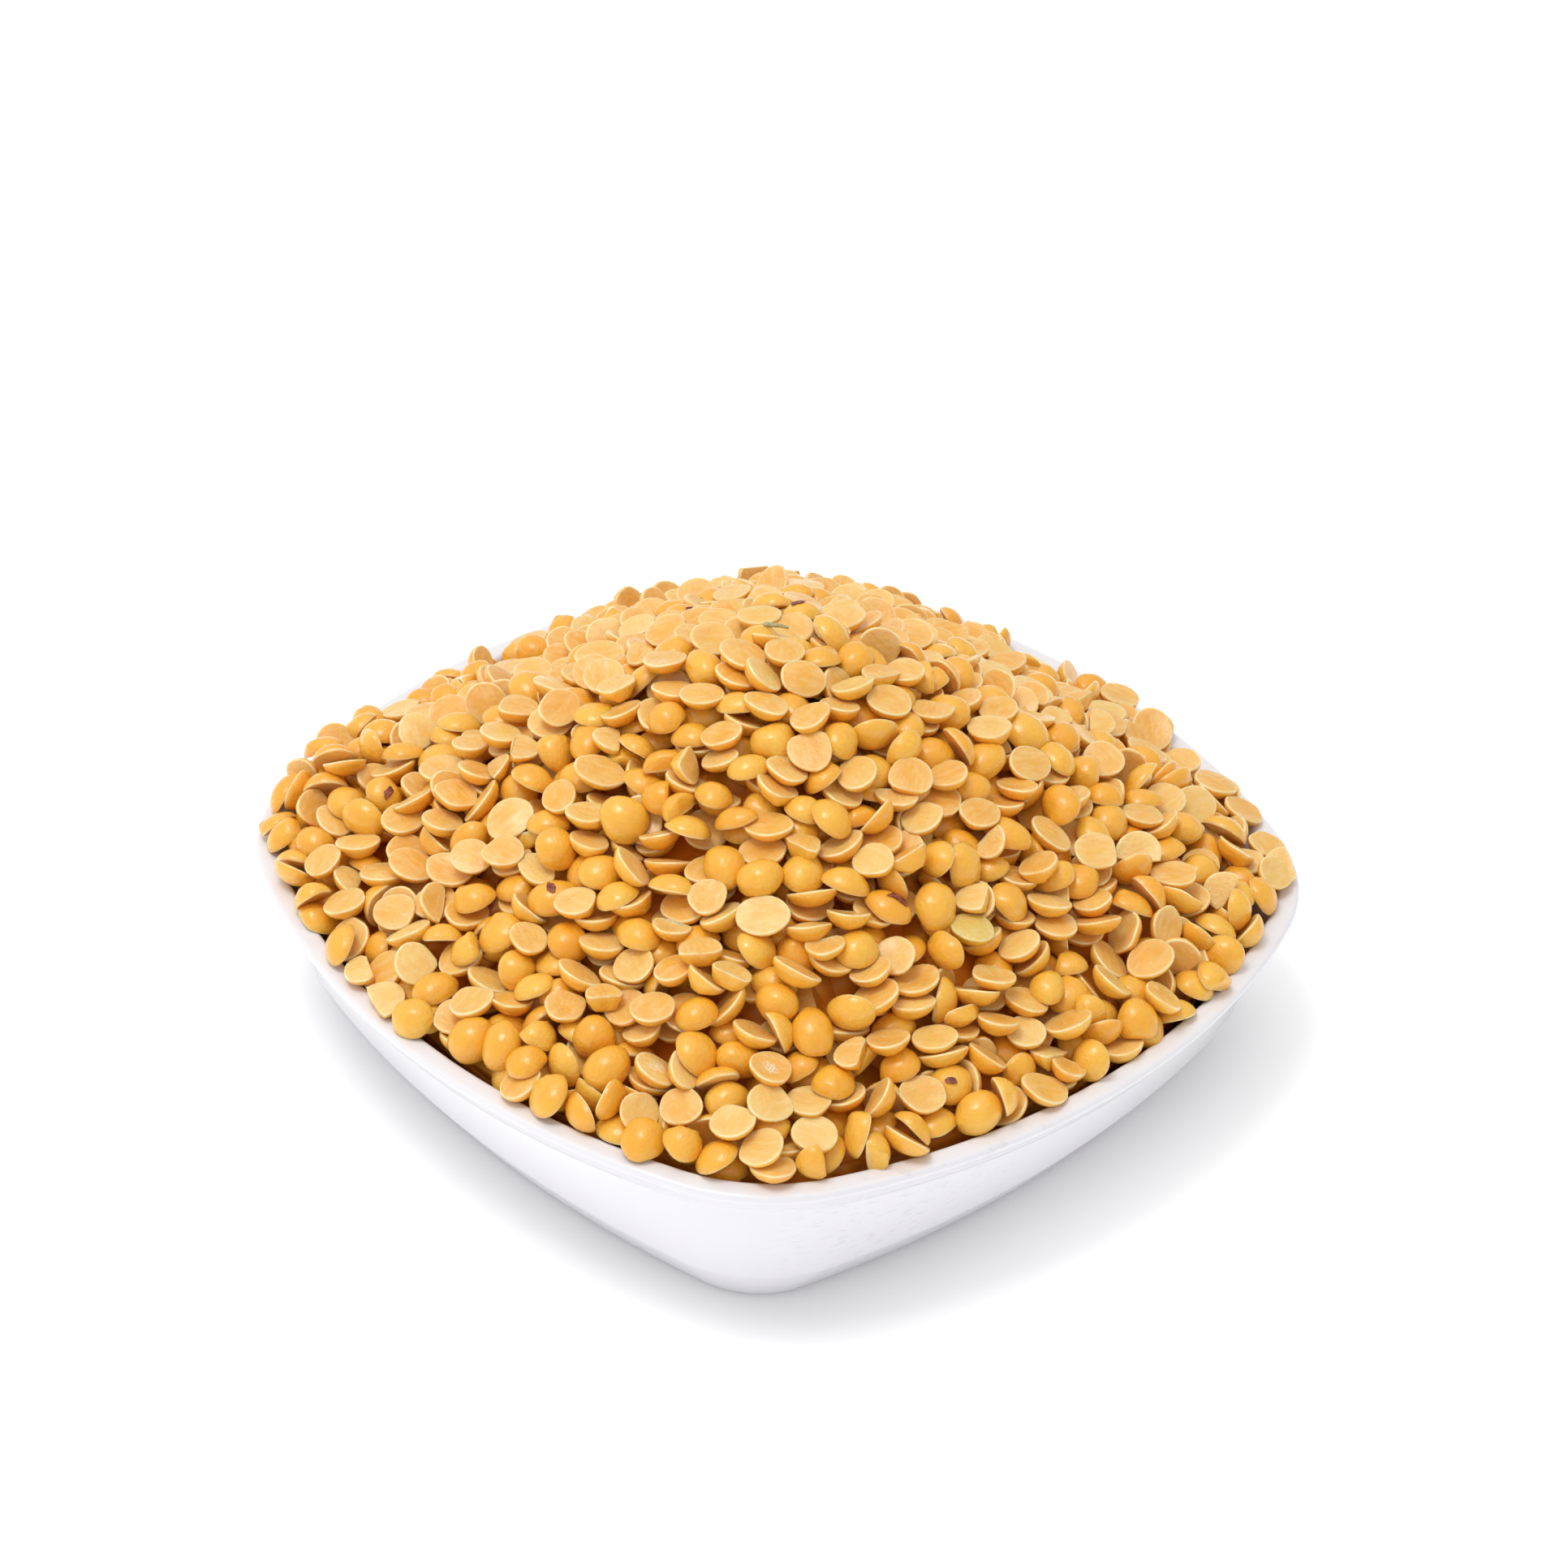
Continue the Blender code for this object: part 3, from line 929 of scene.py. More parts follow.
HABITS: dict[GrainKind, GrainHabit] = {
    GrainKind.ROUND: GrainHabit(0.26, (0.0050, 0.0061), (0.90, 0.99), (0.0019, 0.0023)),
    GrainKind.OVAL: GrainHabit(0.27, (0.0054, 0.0066), (0.76, 0.89), (0.0019, 0.0023)),
    GrainKind.CLIPPED: GrainHabit(
        0.24, (0.0054, 0.0061), (0.84, 0.96), (0.0019, 0.0023), clip=(0.70, 0.92)
    ),
    GrainKind.BROKEN: GrainHabit(
        0.06, (0.0052, 0.0060), (0.84, 0.96), (0.0018, 0.0023), clip=(0.10, 0.45)
    ),
    GrainKind.WRINKLED: GrainHabit(
        0.14, (0.0051, 0.0059), (0.82, 0.95), (0.0018, 0.0022), wrinkle=0.00013
    ),
    GrainKind.WHOLE: GrainHabit(0.02, (0.0056, 0.0064), (0.74, 0.84), (0.0040, 0.0046)),
}


TONE_LIMIT = 0.80
GREEN_TONE = 0.90
CHALKY_TONE = 1.00


@dataclass
class Grain:
    """One grain at rest: its kind, its sizes, its place and its own random numbers."""

    kind: GrainKind
    half_axes: np.ndarray
    clip: float
    turn: np.ndarray
    centre: np.ndarray
    tone: np.ndarray
    seed: int


class Pile:
    """Settles grains one by one on a height map of what lies below them."""

    # The height map of the heap so far
    cell = 0.00025
    half_extent = 0.0610
    blocked = 1.0
    wall_give = 0.0003
    wall_steepness = 1.9
    rim_outer_share = 0.985
    # How a grain reads the map
    reach = 0.0034
    closeness = 0.92
    edge_on = 1e-6
    tiny = 1e-9
    # How grains lie before they settle
    face_up_share = 0.60
    slope_share = -0.25
    lean = math.radians(17)
    upright_share = 0.10
    upright_lean = math.radians(45)
    rim_share = 0.88
    rim_lean = math.radians(34)
    slot_lean = math.radians(60)
    # How they settle
    settle_tries = 12
    settle_rounds = 4
    settle_slide = 0.0007
    settle_turn = math.radians(5)
    weight_arm = 0.38
    hopeless = 0.0026
    # How far they may stand out of the form
    top_margin = 0.0003
    edge_bonus = 0.0019
    far_edge_cut = 0.0016
    allowance_start = 0.86
    allowance_width = 0.10
    far_side_width = 0.050
    hollow_proud = 0.0003
    wedged_proud = -0.0006
    slot_proud = -0.0010
    # Where they are let go
    even_reach = 0.99
    edge_reach = (0.90, 1.0)
    hollow_reach = 0.985
    hollow_ring = 0.00125
    hollow_picks = 80
    rim_pull = 0.0008
    slot_inset = 0.0016
    slot_ring = 2
    slot_picks = 24
    slot_small_share = 0.5
    # Which grains lie open to view
    level_enough = 0.72
    cover_limit = 0.0001
    face_relief = 0.0004
    probe_steps = (
        (0, 0),
        (0.0011, 0),
        (-0.0011, 0),
        (0, 0.0011),
        (0, -0.0011),
        (0.0014, -0.0014),
    )

    def __init__(self, heap: HeapForm, dish: DishForm, seed: int) -> None:
        """Start from the core inside the dish.

        Args:
            heap: The surface that the grains fill up to.
            dish: The dish that holds them.
            seed: Seed of every random draw.
        """
        self.heap = heap
        self.dish = dish
        self.draw = np.random.default_rng(seed)
        count = int(round(2 * self.half_extent / self.cell)) + 1
        self.line = (np.arange(count) - (count - 1) / 2) * self.cell
        grid_x, grid_y = np.meshgrid(self.line, self.line, indexing="ij")
        mouth = dish.mouth()
        mouth_share = mouth.share_of(grid_x, grid_y)
        inside = (1 - mouth_share) * mouth.reach(np.arctan2(grid_y, grid_x))
        wall = dish.rim_height - np.maximum(inside + self.wall_give, 0) * self.wall_steepness
        core = heap.core_height(grid_x, grid_y)
        self.top = np.where(mouth_share < 1, np.maximum(core, wall), dish.rim_height)
        outer_share = dish.rim.share_of(grid_x, grid_y)
        self.top = np.where(outer_share < self.rim_outer_share, self.top, self.blocked)
        self.target = heap.height(grid_x, grid_y)
        self.grains: list[Grain] = []

    def _rest_heights(
        self,
        x: float,
        y: float,
        shifts: np.ndarray,
        turns: np.ndarray,
        half_axes: np.ndarray,
        cut: float,
    ) -> tuple[np.ndarray, tuple[slice, slice], np.ndarray, np.ndarray]:
        """Where a grain comes to rest when lowered in each of several poses.

        Args:
            x: Place of the window's middle.
            y: Place of the window's middle.
            shifts: Offsets in x and y, one row a pose.
            turns: Rotation matrices, one a pose.
            half_axes: Half axes of the grain.
            cut: Level of its flat face over its widest section.

        Returns:
            Rest height of each pose, the window of the map that it reads, and for each pose
            which cells the grain covers and how high its upper side is over its centre.
        """
        span = self.reach + np.abs(shifts).max()
        first_x, last_x = np.searchsorted(self.line, (x - span, x + span))
        first_y, last_y = np.searchsorted(self.line, (y - span, y + span))
        window = (slice(first_x, last_x), slice(first_y, last_y))
        offset_x, offset_y = np.meshgrid(
            self.line[window[0]] - x, self.line[window[1]] - y, indexing="ij"
        )
        flat_x = offset_x.ravel()[None, :] - shifts[:, 0:1]
        flat_y = offset_y.ravel()[None, :] - shifts[:, 1:2]
        below = self.top[window].ravel()[None, :]
        place = (
            flat_x[:, :, None] * turns[:, None, 0, :] + flat_y[:, :, None] * turns[:, None, 1, :]
        ) / half_axes
        upward = turns[:, 2, :] / half_axes
        square = np.sum(upward**2, axis=1)[:, None]
        cross = np.einsum("kmi,ki->km", place, upward)
        rest = np.sum(place**2, axis=2) - 1
        under_root = cross**2 - square * rest
        hit = under_root > 0
        root = np.sqrt(np.where(hit, under_root, 0))
        lower = (-cross - root) / square
        upper = (-cross + root) / square
        face_speed = turns[:, 2, 2][:, None]
        safe_speed = np.where(np.abs(face_speed) < self.edge_on, self.edge_on, face_speed)
        face_at = (cut - place[:, :, 2] * half_axes[2]) / safe_speed
        upper = np.where(face_speed > 0, np.minimum(upper, face_at), upper)
        lower = np.where(face_speed < 0, np.maximum(lower, face_at), lower)
        hit &= lower < upper
        heights = np.max(np.where(hit, below - lower, -1.0), axis=1)
        return heights, window, hit, upper

    def _random_turn(
        self, facing: np.ndarray, face_up: bool, lean: float, count: int
    ) -> np.ndarray:
        """Rotation matrices whose flat faces look roughly one way.

        Args:
            facing: Direction of the surface below.
            face_up: Whether the flat face looks out of the heap.
            lean: How far a grain leans, as a standard deviation.
            count: Number of matrices.

        Returns:
            An array of rotation matrices.
        """
        out = facing if face_up else -facing
        own_lean = out + np.tan(lean) * self.draw.normal(size=3)
        tips = own_lean[None, :] + self.settle_turn * self.draw.normal(size=(count, 3))
        tips /= np.linalg.norm(tips, axis=1, keepdims=True)
        side = np.cross(tips, self.draw.normal(size=(count, 3)))
        side /= np.linalg.norm(side, axis=1, keepdims=True)
        return np.stack([side, np.cross(tips, side), tips], axis=2)

    def _nudged(self, turn: np.ndarray, count: int) -> np.ndarray:
        """Rotation matrices near one matrix, which itself comes first."""
        turns = np.repeat(turn[None], count, axis=0)
        axes = self.draw.normal(size=(count, 3)) * self.settle_turn
        axes[0] = 0
        angle = np.linalg.norm(axes, axis=1)
        unit = axes / np.maximum(angle, self.tiny)[:, None]
        zero = np.zeros(count)
        skew = np.stack([
            np.stack([zero, -unit[:, 2], unit[:, 1]], axis=1),
            np.stack([unit[:, 2], zero, -unit[:, 0]], axis=1),
            np.stack([-unit[:, 1], unit[:, 0], zero], axis=1),
        ], axis=1)
        sine = np.sin(angle)[:, None, None]
        versine = (1 - np.cos(angle))[:, None, None]
        spin = np.eye(3)[None] + sine * skew + versine * (skew @ skew)
        return spin @ turns

    def drop(
        self, x: float, y: float, kind: GrainKind, proud: float = 0.0, on_edge: bool = False
    ) -> bool:
        """Lower one grain, let it settle, and keep it if it ends inside the heap's form.

        Args:
            x: Where it is let go.
            y: Where it is let go.
            kind: What kind of grain it is.
            proud: How much further out of the heap's form it may end than others.
            on_edge: Whether it goes down on its edge, as into a narrow gap.

        Returns:
            Whether it was kept.
        """
        habit = HABITS[kind]
        length = self.draw.uniform(*habit.length)
        width = length * self.draw.uniform(*habit.slimness)
        thickness = self.draw.uniform(*habit.thickness)
        clip = self.draw.uniform(*habit.clip)
        half_length = length / 2 * (1 + min(clip, 1.0)) / 2
        whole = kind is GrainKind.WHOLE
        depth = thickness / 2 if whole else thickness
        cut = depth * 2 if whole else 0.0
        half_axes = np.array([half_length, width / 2, depth])
        tight_axes = half_axes * self.closeness
        face_up = self.draw.random() < self.face_up_share
        lean = self.lean
        if on_edge:
            lean = self.slot_lean
        elif self.draw.random() < self.upright_share:
            lean = self.upright_lean
        elif float(self.dish.mouth().share_of(np.array(x), np.array(y))) > self.rim_share:
            lean = self.rim_lean
        facing = self.slope_share * self.heap.normal(x, y)
        facing[2] += 1 - self.slope_share
        facing /= np.linalg.norm(facing)
        turns = self._random_turn(facing, face_up, lean, self.settle_tries)
        shifts = np.zeros((self.settle_tries, 2))
        for round_number in range(self.settle_rounds + 1):
            if round_number > 0:
                turns = self._nudged(turn, self.settle_tries)
                shifts = self.draw.normal(size=(self.settle_tries, 2)) * self.settle_slide
                shifts[0] = 0
            heights, window, hit, upper = self._rest_heights(x, y, shifts, turns, tight_axes, cut)
            level = self.heap.height(x + shifts[:, 0], y + shifts[:, 1])
            weight_arm = 0.0 if whole else depth * self.weight_arm
            energy = heights - level - turns[:, 2, 2] * weight_arm
            best = int(np.argmin(energy))
            if heights[best] > self.blocked / 2 or energy[best] > self.hopeless:
                return False
            turn = turns[best]
            shift = shifts[best]
            height = heights[best]
            kept = (window, hit[best], upper[best])
            x += shift[0]
            y += shift[1]
        if energy[best] > self._edge_allowance(x, y) + proud - self.top_margin:
            return False
        window, hit_cells, upper_cells = kept
        block = self.top[window]
        raised = np.where(hit_cells, height + upper_cells, -1.0).reshape(block.shape)
        if np.any(raised[block > self.blocked / 2] > 0):
            return False
        self.top[window] = np.maximum(block, raised)
        self.grains.append(Grain(
            kind=kind,
            half_axes=half_axes,
            clip=clip,
            turn=turn,
            centre=np.array([x, y, height]),
            tone=self.draw.random(3) * (1.0, 1.0, TONE_LIMIT),
            seed=int(self.draw.integers(1 << 30)),
        ))
        return True

    def _edge_allowance(self, x: float, y: float) -> float:
        """How far a grain by the rim may stand over the form: less on the far sides."""
        edge_highlight_share = float(self.dish.mouth().share_of(np.array(x), np.array(y)))
        near_edge = (edge_highlight_share - self.allowance_start) / self.allowance_width
        near_edge = min(max(near_edge, 0.0), 1.0)
        far_side = min(max((y - x) / self.far_side_width, 0.0), 1.0)
        return near_edge * (self.edge_bonus - self.far_edge_cut * far_side)

    def surface(self, x: float, y: float) -> float:
        """Height of the grains' upper side at one place."""
        row = int(np.argmin(np.abs(self.line - x)))
        column = int(np.argmin(np.abs(self.line - y)))
        return float(self.top[row, column])

    def exposed(self, x: float, y: float, face_up: bool) -> Grain:
        """The uncovered grain nearest a place.

        Args:
            x: The place.
            y: The place.
            face_up: Whether the grain's cut face looks up.

        Returns:
            The grain.
        """
        best = None
        least = 1.0
        for grain in self.grains:
            upward = grain.turn[2, 2] if face_up else -grain.turn[2, 2]
            if upward <= self.level_enough or grain.kind in (GrainKind.WHOLE, GrainKind.BROKEN):
                continue
            away = math.hypot(grain.centre[0] - x, grain.centre[1] - y)
            if away >= least:
                continue
            own_top = grain.centre[2] + (self.face_relief if face_up else grain.half_axes[2])
            covered = max(
                self.surface(grain.centre[0] + step_x, grain.centre[1] + step_y) - own_top
                for step_x, step_y in self.probe_steps
            )
            if covered < self.cover_limit:
                best = grain
                least = away
        return best

    def fill(
        self, attempts: int, edge_attempts: int, spare_attempts: int, slot_attempts: int
    ) -> None:
        """Drop grains until the heap is full.

        Args:
            attempts: Grains let go at places spread evenly.
            edge_attempts: Grains let go along the rim before those, and again after them.
            spare_attempts: Grains then let go over the deepest hollows.
            slot_attempts: Grains at last let down on edge into the gaps along the rim.
        """
        kinds = list(HABITS)
        shares = np.array([HABITS[kind].share for kind in kinds])
        shares /= shares.sum()
        mouth = self.dish.mouth()
        for number in range(attempts + 2 * edge_attempts):
            angle = self.draw.uniform(0, 2 * math.pi)
            share = math.sqrt(self.draw.random()) * self.even_reach
            if number < edge_attempts or number >= attempts + edge_attempts:
                share = self.draw.uniform(*self.edge_reach)
            out = share * float(mouth.reach(np.array(angle)))
            kind = kinds[self.draw.choice(len(kinds), p=shares)]
            self.drop(out * math.cos(angle), out * math.sin(angle), kind)
        log.info("%d grains after the even drops", len(self.grains))
        grid_x, grid_y = np.meshgrid(self.line, self.line, indexing="ij")
        share = mouth.share_of(grid_x, grid_y)
        pull = np.where(share > self.rim_share, self.rim_pull, 0.0)
        pull = np.where(share < self.hollow_reach, pull, -1.0)
        ring = int(round(self.hollow_ring / self.cell))
        steps = np.array([(a, b) for a in (-ring, 0, ring) for b in (-ring, 0, ring)])
        for number in range(spare_attempts):
            picks = self.draw.integers(ring, len(self.line) - ring, size=(self.hollow_picks, 2))
            rows, columns = np.moveaxis(picks[:, None, :] + steps[None], 2, 0)
            depth = (self.target[rows, columns] - self.top[rows, columns]).mean(axis=1)
            pick = picks[int(np.argmax(depth + pull[picks[:, 0], picks[:, 1]]))]
            kind = kinds[self.draw.choice(len(kinds), p=shares)]
            on_edge = number % 2 == 1
            proud = self.wedged_proud if on_edge else self.hollow_proud
            self.drop(self.line[pick[0]], self.line[pick[1]], kind, proud, on_edge)
        log.info("%d grains after the drops into hollows", len(self.grains))
        ring = self.slot_ring
        steps = np.array([(a, b) for a in (-ring, 0, ring) for b in (-ring, 0, ring)])
        for _ in range(slot_attempts):
            angles = self.draw.uniform(0, 2 * math.pi, size=self.slot_picks)
            out = mouth.reach(angles) - self.slot_inset
            places = np.stack([out * np.cos(angles), out * np.sin(angles)], axis=1)
            cells = np.round(places / self.cell).astype(int) + len(self.line) // 2
            rows, columns = np.moveaxis(cells[:, None, :] + steps[None], 2, 0)
            place = places[int(np.argmin(self.top[rows, columns].mean(axis=1)))]
            kind = kinds[self.draw.choice(len(kinds), p=shares)]
            if self.draw.random() < self.slot_small_share:
                kind = GrainKind.BROKEN
            self.drop(place[0], place[1], kind, self.slot_proud, on_edge=True)
        log.info("%d grains after the drops along the rim", len(self.grains))


class HuskFlecks:
    """Bits of dark husk that still stick to a few grains."""

    sides = 14
    rings = (0.35, 0.70, 1.0)
    lift = 0.00009
    curl = 0.00010
    raggedness = 0.16
    wander = 0.25
    thickness = 0.00006

    def __init__(self, pile: Pile, seed: int) -> None:
        """Keep the pile that the flecks lie on.

        Args:
            pile: The settled grains.
            seed: Seed of every random draw.
        """
        self.pile = pile
        self.draw = np.random.default_rng(seed)

    def _fleck(self, spot: tuple[float, float, float, float]) -> tuple[np.ndarray, list]:
        """Points and faces of one fleck on the back of the grain nearest a spot.

        Args:
            spot: Place in plan, length and width of the fleck.

        Returns:
            The points in place, and the faces between them.
        """
        x, y, length, width = spot
        grain = self.pile.exposed(x, y, face_up=False)
        angle = np.arange(self.sides) * 2 * math.pi / self.sides
        outline = 1 + self.raggedness * self.draw.normal(size=self.sides)
        spin = self.draw.uniform(0, math.pi)
        shift = self.draw.uniform(-self.wander, self.wander, size=2) * grain.half_axes[:2]
        rows = [np.zeros((1, 2))]
        for share in self.rings:
            along = share * outline * np.cos(angle) * length / 2
            across = share * outline * np.sin(angle) * width / 2
            rows.append(np.stack([
                along * math.cos(spin) - across * math.sin(spin),
                along * math.sin(spin) + across * math.cos(spin),
            ], axis=1))
        flat = np.concatenate(rows) + shift
        out = np.clip(np.sum((flat / grain.half_axes[:2]) ** 2, axis=1), 0, 0.98)
        edge_drop = GrainMesh.edge_drop
        rise = (1 - out) ** (GrainMesh.dome_power / 2)
        level = -edge_drop - (grain.half_axes[2] - edge_drop) * rise
        share_out = np.concatenate([[0.0], np.repeat(self.rings, self.sides)])
        level = level - self.lift - self.curl * share_out**2 * (0.4 + 0.6 * self.draw.random())
        own = np.column_stack([flat, level])
        faces = []
        for side in range(self.sides):
            after = (side + 1) % self.sides
            faces.append((0, 1 + side, 1 + after))
            for row in range(len(self.rings) - 1):
                inner = 1 + row * self.sides
                outer = inner + self.sides
                faces.append((inner + side, outer + side, outer + after, inner + after))
        return own @ grain.turn.T + grain.centre, faces

    def build(self, spots: tuple) -> bpy.types.Object:
        """Make all flecks as one piece.

        Args:
            spots: Place in plan, length and width of each fleck.

        Returns:
            The new piece.
        """
        corners: list[tuple] = []
        faces: list[tuple] = []
        for spot in spots:
            points, own_faces = self._fleck(spot)
            start = len(corners)
            corners.extend(tuple(point) for point in points)
            faces.extend(tuple(start + index for index in face) for face in own_faces)
        piece = new_object("husk_flecks", corners, faces)
        piece.data.materials.append(HUSK_SKIN.build())
        thicken = piece.modifiers.new("fleck_thickness", "SOLIDIFY")
        thicken.thickness = self.thickness
        thicken.offset = 0.0
        register(piece, "lentil_heap")
        return piece


class StemBit:
    """A short bit of dry grey-green stem on the far side of the top."""

    sides = 10
    steps = 7
    radius = 0.00028
    bow = 0.00022

    def __init__(self, pile: Pile, start: tuple[float, float], end: tuple[float, float]) -> None:
        """Keep the pile and the bit's two ends in plan."""
        self.pile = pile
        self.start = np.array(start)
        self.end = np.array(end)

    def build(self) -> bpy.types.Object:
        """Make the bit of stem."""
        along = np.append(self.end - self.start, 0.0)
        along /= np.linalg.norm(along)
        across = np.array([-along[1], along[0], 0.0])
        level = max(self.pile.surface(*self.start), self.pile.surface(*self.end))
        level += self.radius
        angle = np.arange(self.sides) * 2 * math.pi / self.sides
        rings = []
        for step in range(self.steps + 1):
            share = step / self.steps
            middle = np.append(self.start + (self.end - self.start) * share, level)
            middle += across * self.bow * math.sin(share * math.pi)
            size = self.radius * (1.15 - 0.45 * share) * (1 + 0.10 * math.sin(5.1 * share))
            ring = middle + size * (
                np.cos(angle)[:, None] * across + np.sin(angle)[:, None] * np.array([0.0, 0.0, 1.0])
            )
            rings.append(ring)
        piece = object_from_rings("stem_bit", rings)
        piece.data.materials.append(STEM_SKIN.build())
        register(piece, "lentil_heap")
        return piece


class GrainMesh:
    """Makes the joined mesh of all the grains of one kind."""

    # Rings: share of the radius, and on the edge also the lift, face share and share of the painted
    # edge highlight
    sides = 24
    face_rings = (0.36, 0.68, 0.88)
    edge_rings = ((0.945, 0.0, 0.9, 0.6), (0.980, -0.00007, 0.6, 1.0), (1.0, -0.00024, 0.0, 0.12))
    edge_drop = 0.00024
    # The domed back, and the whole grain
    dome_angles = (20.0, 38.0, 57.0, 76.0)
    dome_power = 1.25
    whole_angles = (72, 50, 30, 14, 3, -3, -14, -30, -50, -72)
    seam_depth = 0.05
    seam_width = 0.10
    # The clipped or broken end
    soft_corner = 9.0
    broken_corner = 30.0
    clip_blend = 0.12
    clip_steepening = 0.35
    # The outline
    outline_waves = ((2, 0.016), (3, 0.026), (5, 0.012))
    outline_limit = 1.03
    notch_depth = 0.05
    notch_width = 0.30
    # The relief
    relief_waves = 4
    relief_pull = 1.5
    dimple_depth = (0.00003, 0.00017)
    dimple_reach = 0.85

    def __init__(self, kind: GrainKind, grains: list[Grain]) -> None:
        """Keep the grains of one kind."""
        self.kind = kind
        self.grains = [grain for grain in grains if grain.kind is kind]

    def _profile(self) -> list[tuple[float, float, float, float, float]]:
        """Rings of a grain: radius, lift, share of the dome's depth, face share, painted edge
        highlight share.
        """
        if self.kind is GrainKind.WHOLE:
            angles = np.radians(self.whole_angles)
            return [(math.cos(angle), 0.0, -math.sin(angle), 0.0, 0.0) for angle in angles]
        rings = [(radius, 0.0, 0.0, 1.0, 0.0) for radius in self.face_rings]
        rings += [(radius, lift, 0.0, face, line) for radius, lift, face, line in self.edge_rings]
        for angle in np.radians(self.dome_angles):
            drop = math.sin(angle) ** self.dome_power
            rings.append((math.cos(angle), 0.0, drop, 0.0, 0.0))
        return rings

    def _one(self, grain: Grain) -> tuple[np.ndarray, np.ndarray]:
        """Corner points of one grain in place, and the same points in its own measure."""
        draw = np.random.default_rng(grain.seed)
        angle = np.arange(self.sides) * 2 * math.pi / self.sides
        outline = np.ones(self.sides)
        for waves, size in self.outline_waves:
            outline += size * draw.normal() * np.cos(waves * angle + draw.uniform(0, 2 * math.pi))
        notch_at = draw.uniform(0, 2 * math.pi)
        away = (angle - notch_at + math.pi) % (2 * math.pi) - math.pi
        outline -= self.notch_depth * draw.random() * np.exp(-((away / self.notch_width) ** 2))
        outline = np.minimum(outline, self.outline_limit)
        half_length, half_width, depth = grain.half_axes
        whole = grain.kind is GrainKind.WHOLE
        if grain.clip < 1.0:
            full = half_length * 2 / (1 + grain.clip)
            shift = full - half_length
            limit = grain.clip / np.maximum(np.cos(angle), 1e-3)
            power = self.broken_corner if grain.kind is GrainKind.BROKEN else self.soft_corner
            rounded = (outline**-power + limit**-power) ** (-1 / power)
            clipped = np.where(np.cos(angle) > 0.05, rounded, outline)
        else:
            full = half_length
            shift = 0.0
            clipped = outline
        cut_side = np.clip((outline - clipped) / self.clip_blend, 0, 1)
        edge_drop = 0.0 if whole else self.edge_drop
        rings = []
        for radius, lift, dome_level, _, _ in self._profile():
            steep = radius**self.clip_steepening
            share = radius + (steep - radius) * cut_side if dome_level > 0 else radius
            ring_x = full * share * clipped * np.cos(angle) + shift
            ring_y = half_width * share * clipped * np.sin(angle)
            level = lift
            if dome_level != 0:
                level = -edge_drop - (depth - edge_drop) * dome_level
            rings.append(np.stack([ring_x, ring_y, np.full(self.sides, level)], axis=1))
        points = np.concatenate(rings)
        top_level = depth if whole else 0.0
        points = np.concatenate([[[shift, 0, top_level]], points, [[shift, 0, -depth]]])
        if whole:
            away = np.abs(points[:, 2]) / depth
            seam = self.seam_depth * np.exp(-((away / self.seam_width) ** 2))
            points[:, :2] *= (1 - seam)[:, None]
        relief = np.zeros(len(points))
        for _ in range(self.relief_waves):
            pull = draw.normal(size=2) * self.relief_pull / half_width
            phase = draw.uniform(0, 6.28)
            relief += np.cos(points[:, 0] * pull[0] + points[:, 1] * pull[1] + phase)
        relief *= HABITS[grain.kind].wrinkle / 2
        if not whole:
            out = np.hypot(points[:, 0] - shift, points[:, 1]) / half_width
            hollow = np.clip(1 - (out / self.dimple_reach) ** 2, 0, 1)
            is_face = np.arange(len(points)) <= len(self.face_rings) * self.sides
            relief -= np.where(is_face, draw.normal(*self.dimple_depth) * hollow, 0.0)
        points[:, 2] += relief
        own = points / half_length
        placed = points @ grain.turn.T + grain.centre
        return placed, own

    def build(
        self, skin: bpy.types.Material, chalky_skin: bpy.types.Material
    ) -> bpy.types.Object:
        """Make the joined mesh with its own attributes.

        Args:
            skin: Skin of the grains.
            chalky_skin: Skin of the grains with a white middle.

        Returns:
            The new piece.
        """
        profile = self._profile()
        count = len(profile) * self.sides + 2
        corners = []
        places = []
        tones = []
        for grain in self.grains:
            placed, own = self._one(grain)
            corners.append(placed)
            places.append(own)
            tones.append(np.repeat(grain.tone[None], count, axis=0))
        face_share = np.repeat([ring[3] for ring in profile], self.sides)
        # Share of the painted edge highlight on each ring
        edge_highlight_share = np.repeat([ring[4] for ring in profile], self.sides)
        hub_face = 0.0 if self.kind is GrainKind.WHOLE else 1.0
        face_share = np.concatenate([[hub_face], face_share, [0.0]])
        edge_highlight_share = np.concatenate([[0.0], edge_highlight_share, [0.0]])
        faces = self._faces(len(profile))
        all_faces = []
        for number in range(len(self.grains)):
            start = number * count
            all_faces.extend(tuple(start + index for index in face) for face in faces)
        piece = new_object(
            self.kind.value, [tuple(point) for point in np.concatenate(corners)], all_faces
        )
        total = len(self.grains)
        self._store(piece, "grain_place", "FLOAT_VECTOR", "vector", np.concatenate(places))
        self._store(piece, "grain_tone", "FLOAT_VECTOR", "vector", np.concatenate(tones))
        self._store(piece, "face_share", "FLOAT", "value", np.tile(face_share, total))
        self._store(piece, "edge_highlight_share", "FLOAT", "value", np.tile(edge_highlight_share, total))
        piece.data.materials.append(skin)
        chalky = [grain.tone[2] == CHALKY_TONE for grain in self.grains]
        if any(chalky):
            piece.data.materials.append(chalky_skin)
            slots = np.repeat(np.array(chalky, dtype=np.int32), len(faces))
            piece.data.polygons.foreach_set("material_index", slots)
        register(piece, "lentil_heap")
        return piece

    def _faces(self, ring_count: int) -> list[tuple]:
        """Faces of one grain, with its face hub first and its dome hub last."""
        faces = []
        for side in range(self.sides):
            after = (side + 1) % self.sides
            faces.append((0, 1 + side, 1 + after))
            for row in range(ring_count - 1):
                upper = 1 + row * self.sides
                lower = upper + self.sides
                faces.append((upper + side, lower + side, lower + after, upper + after))
            last = 1 + (ring_count - 1) * self.sides
            faces.append((last + side, last + self.sides, last + after))
        return faces

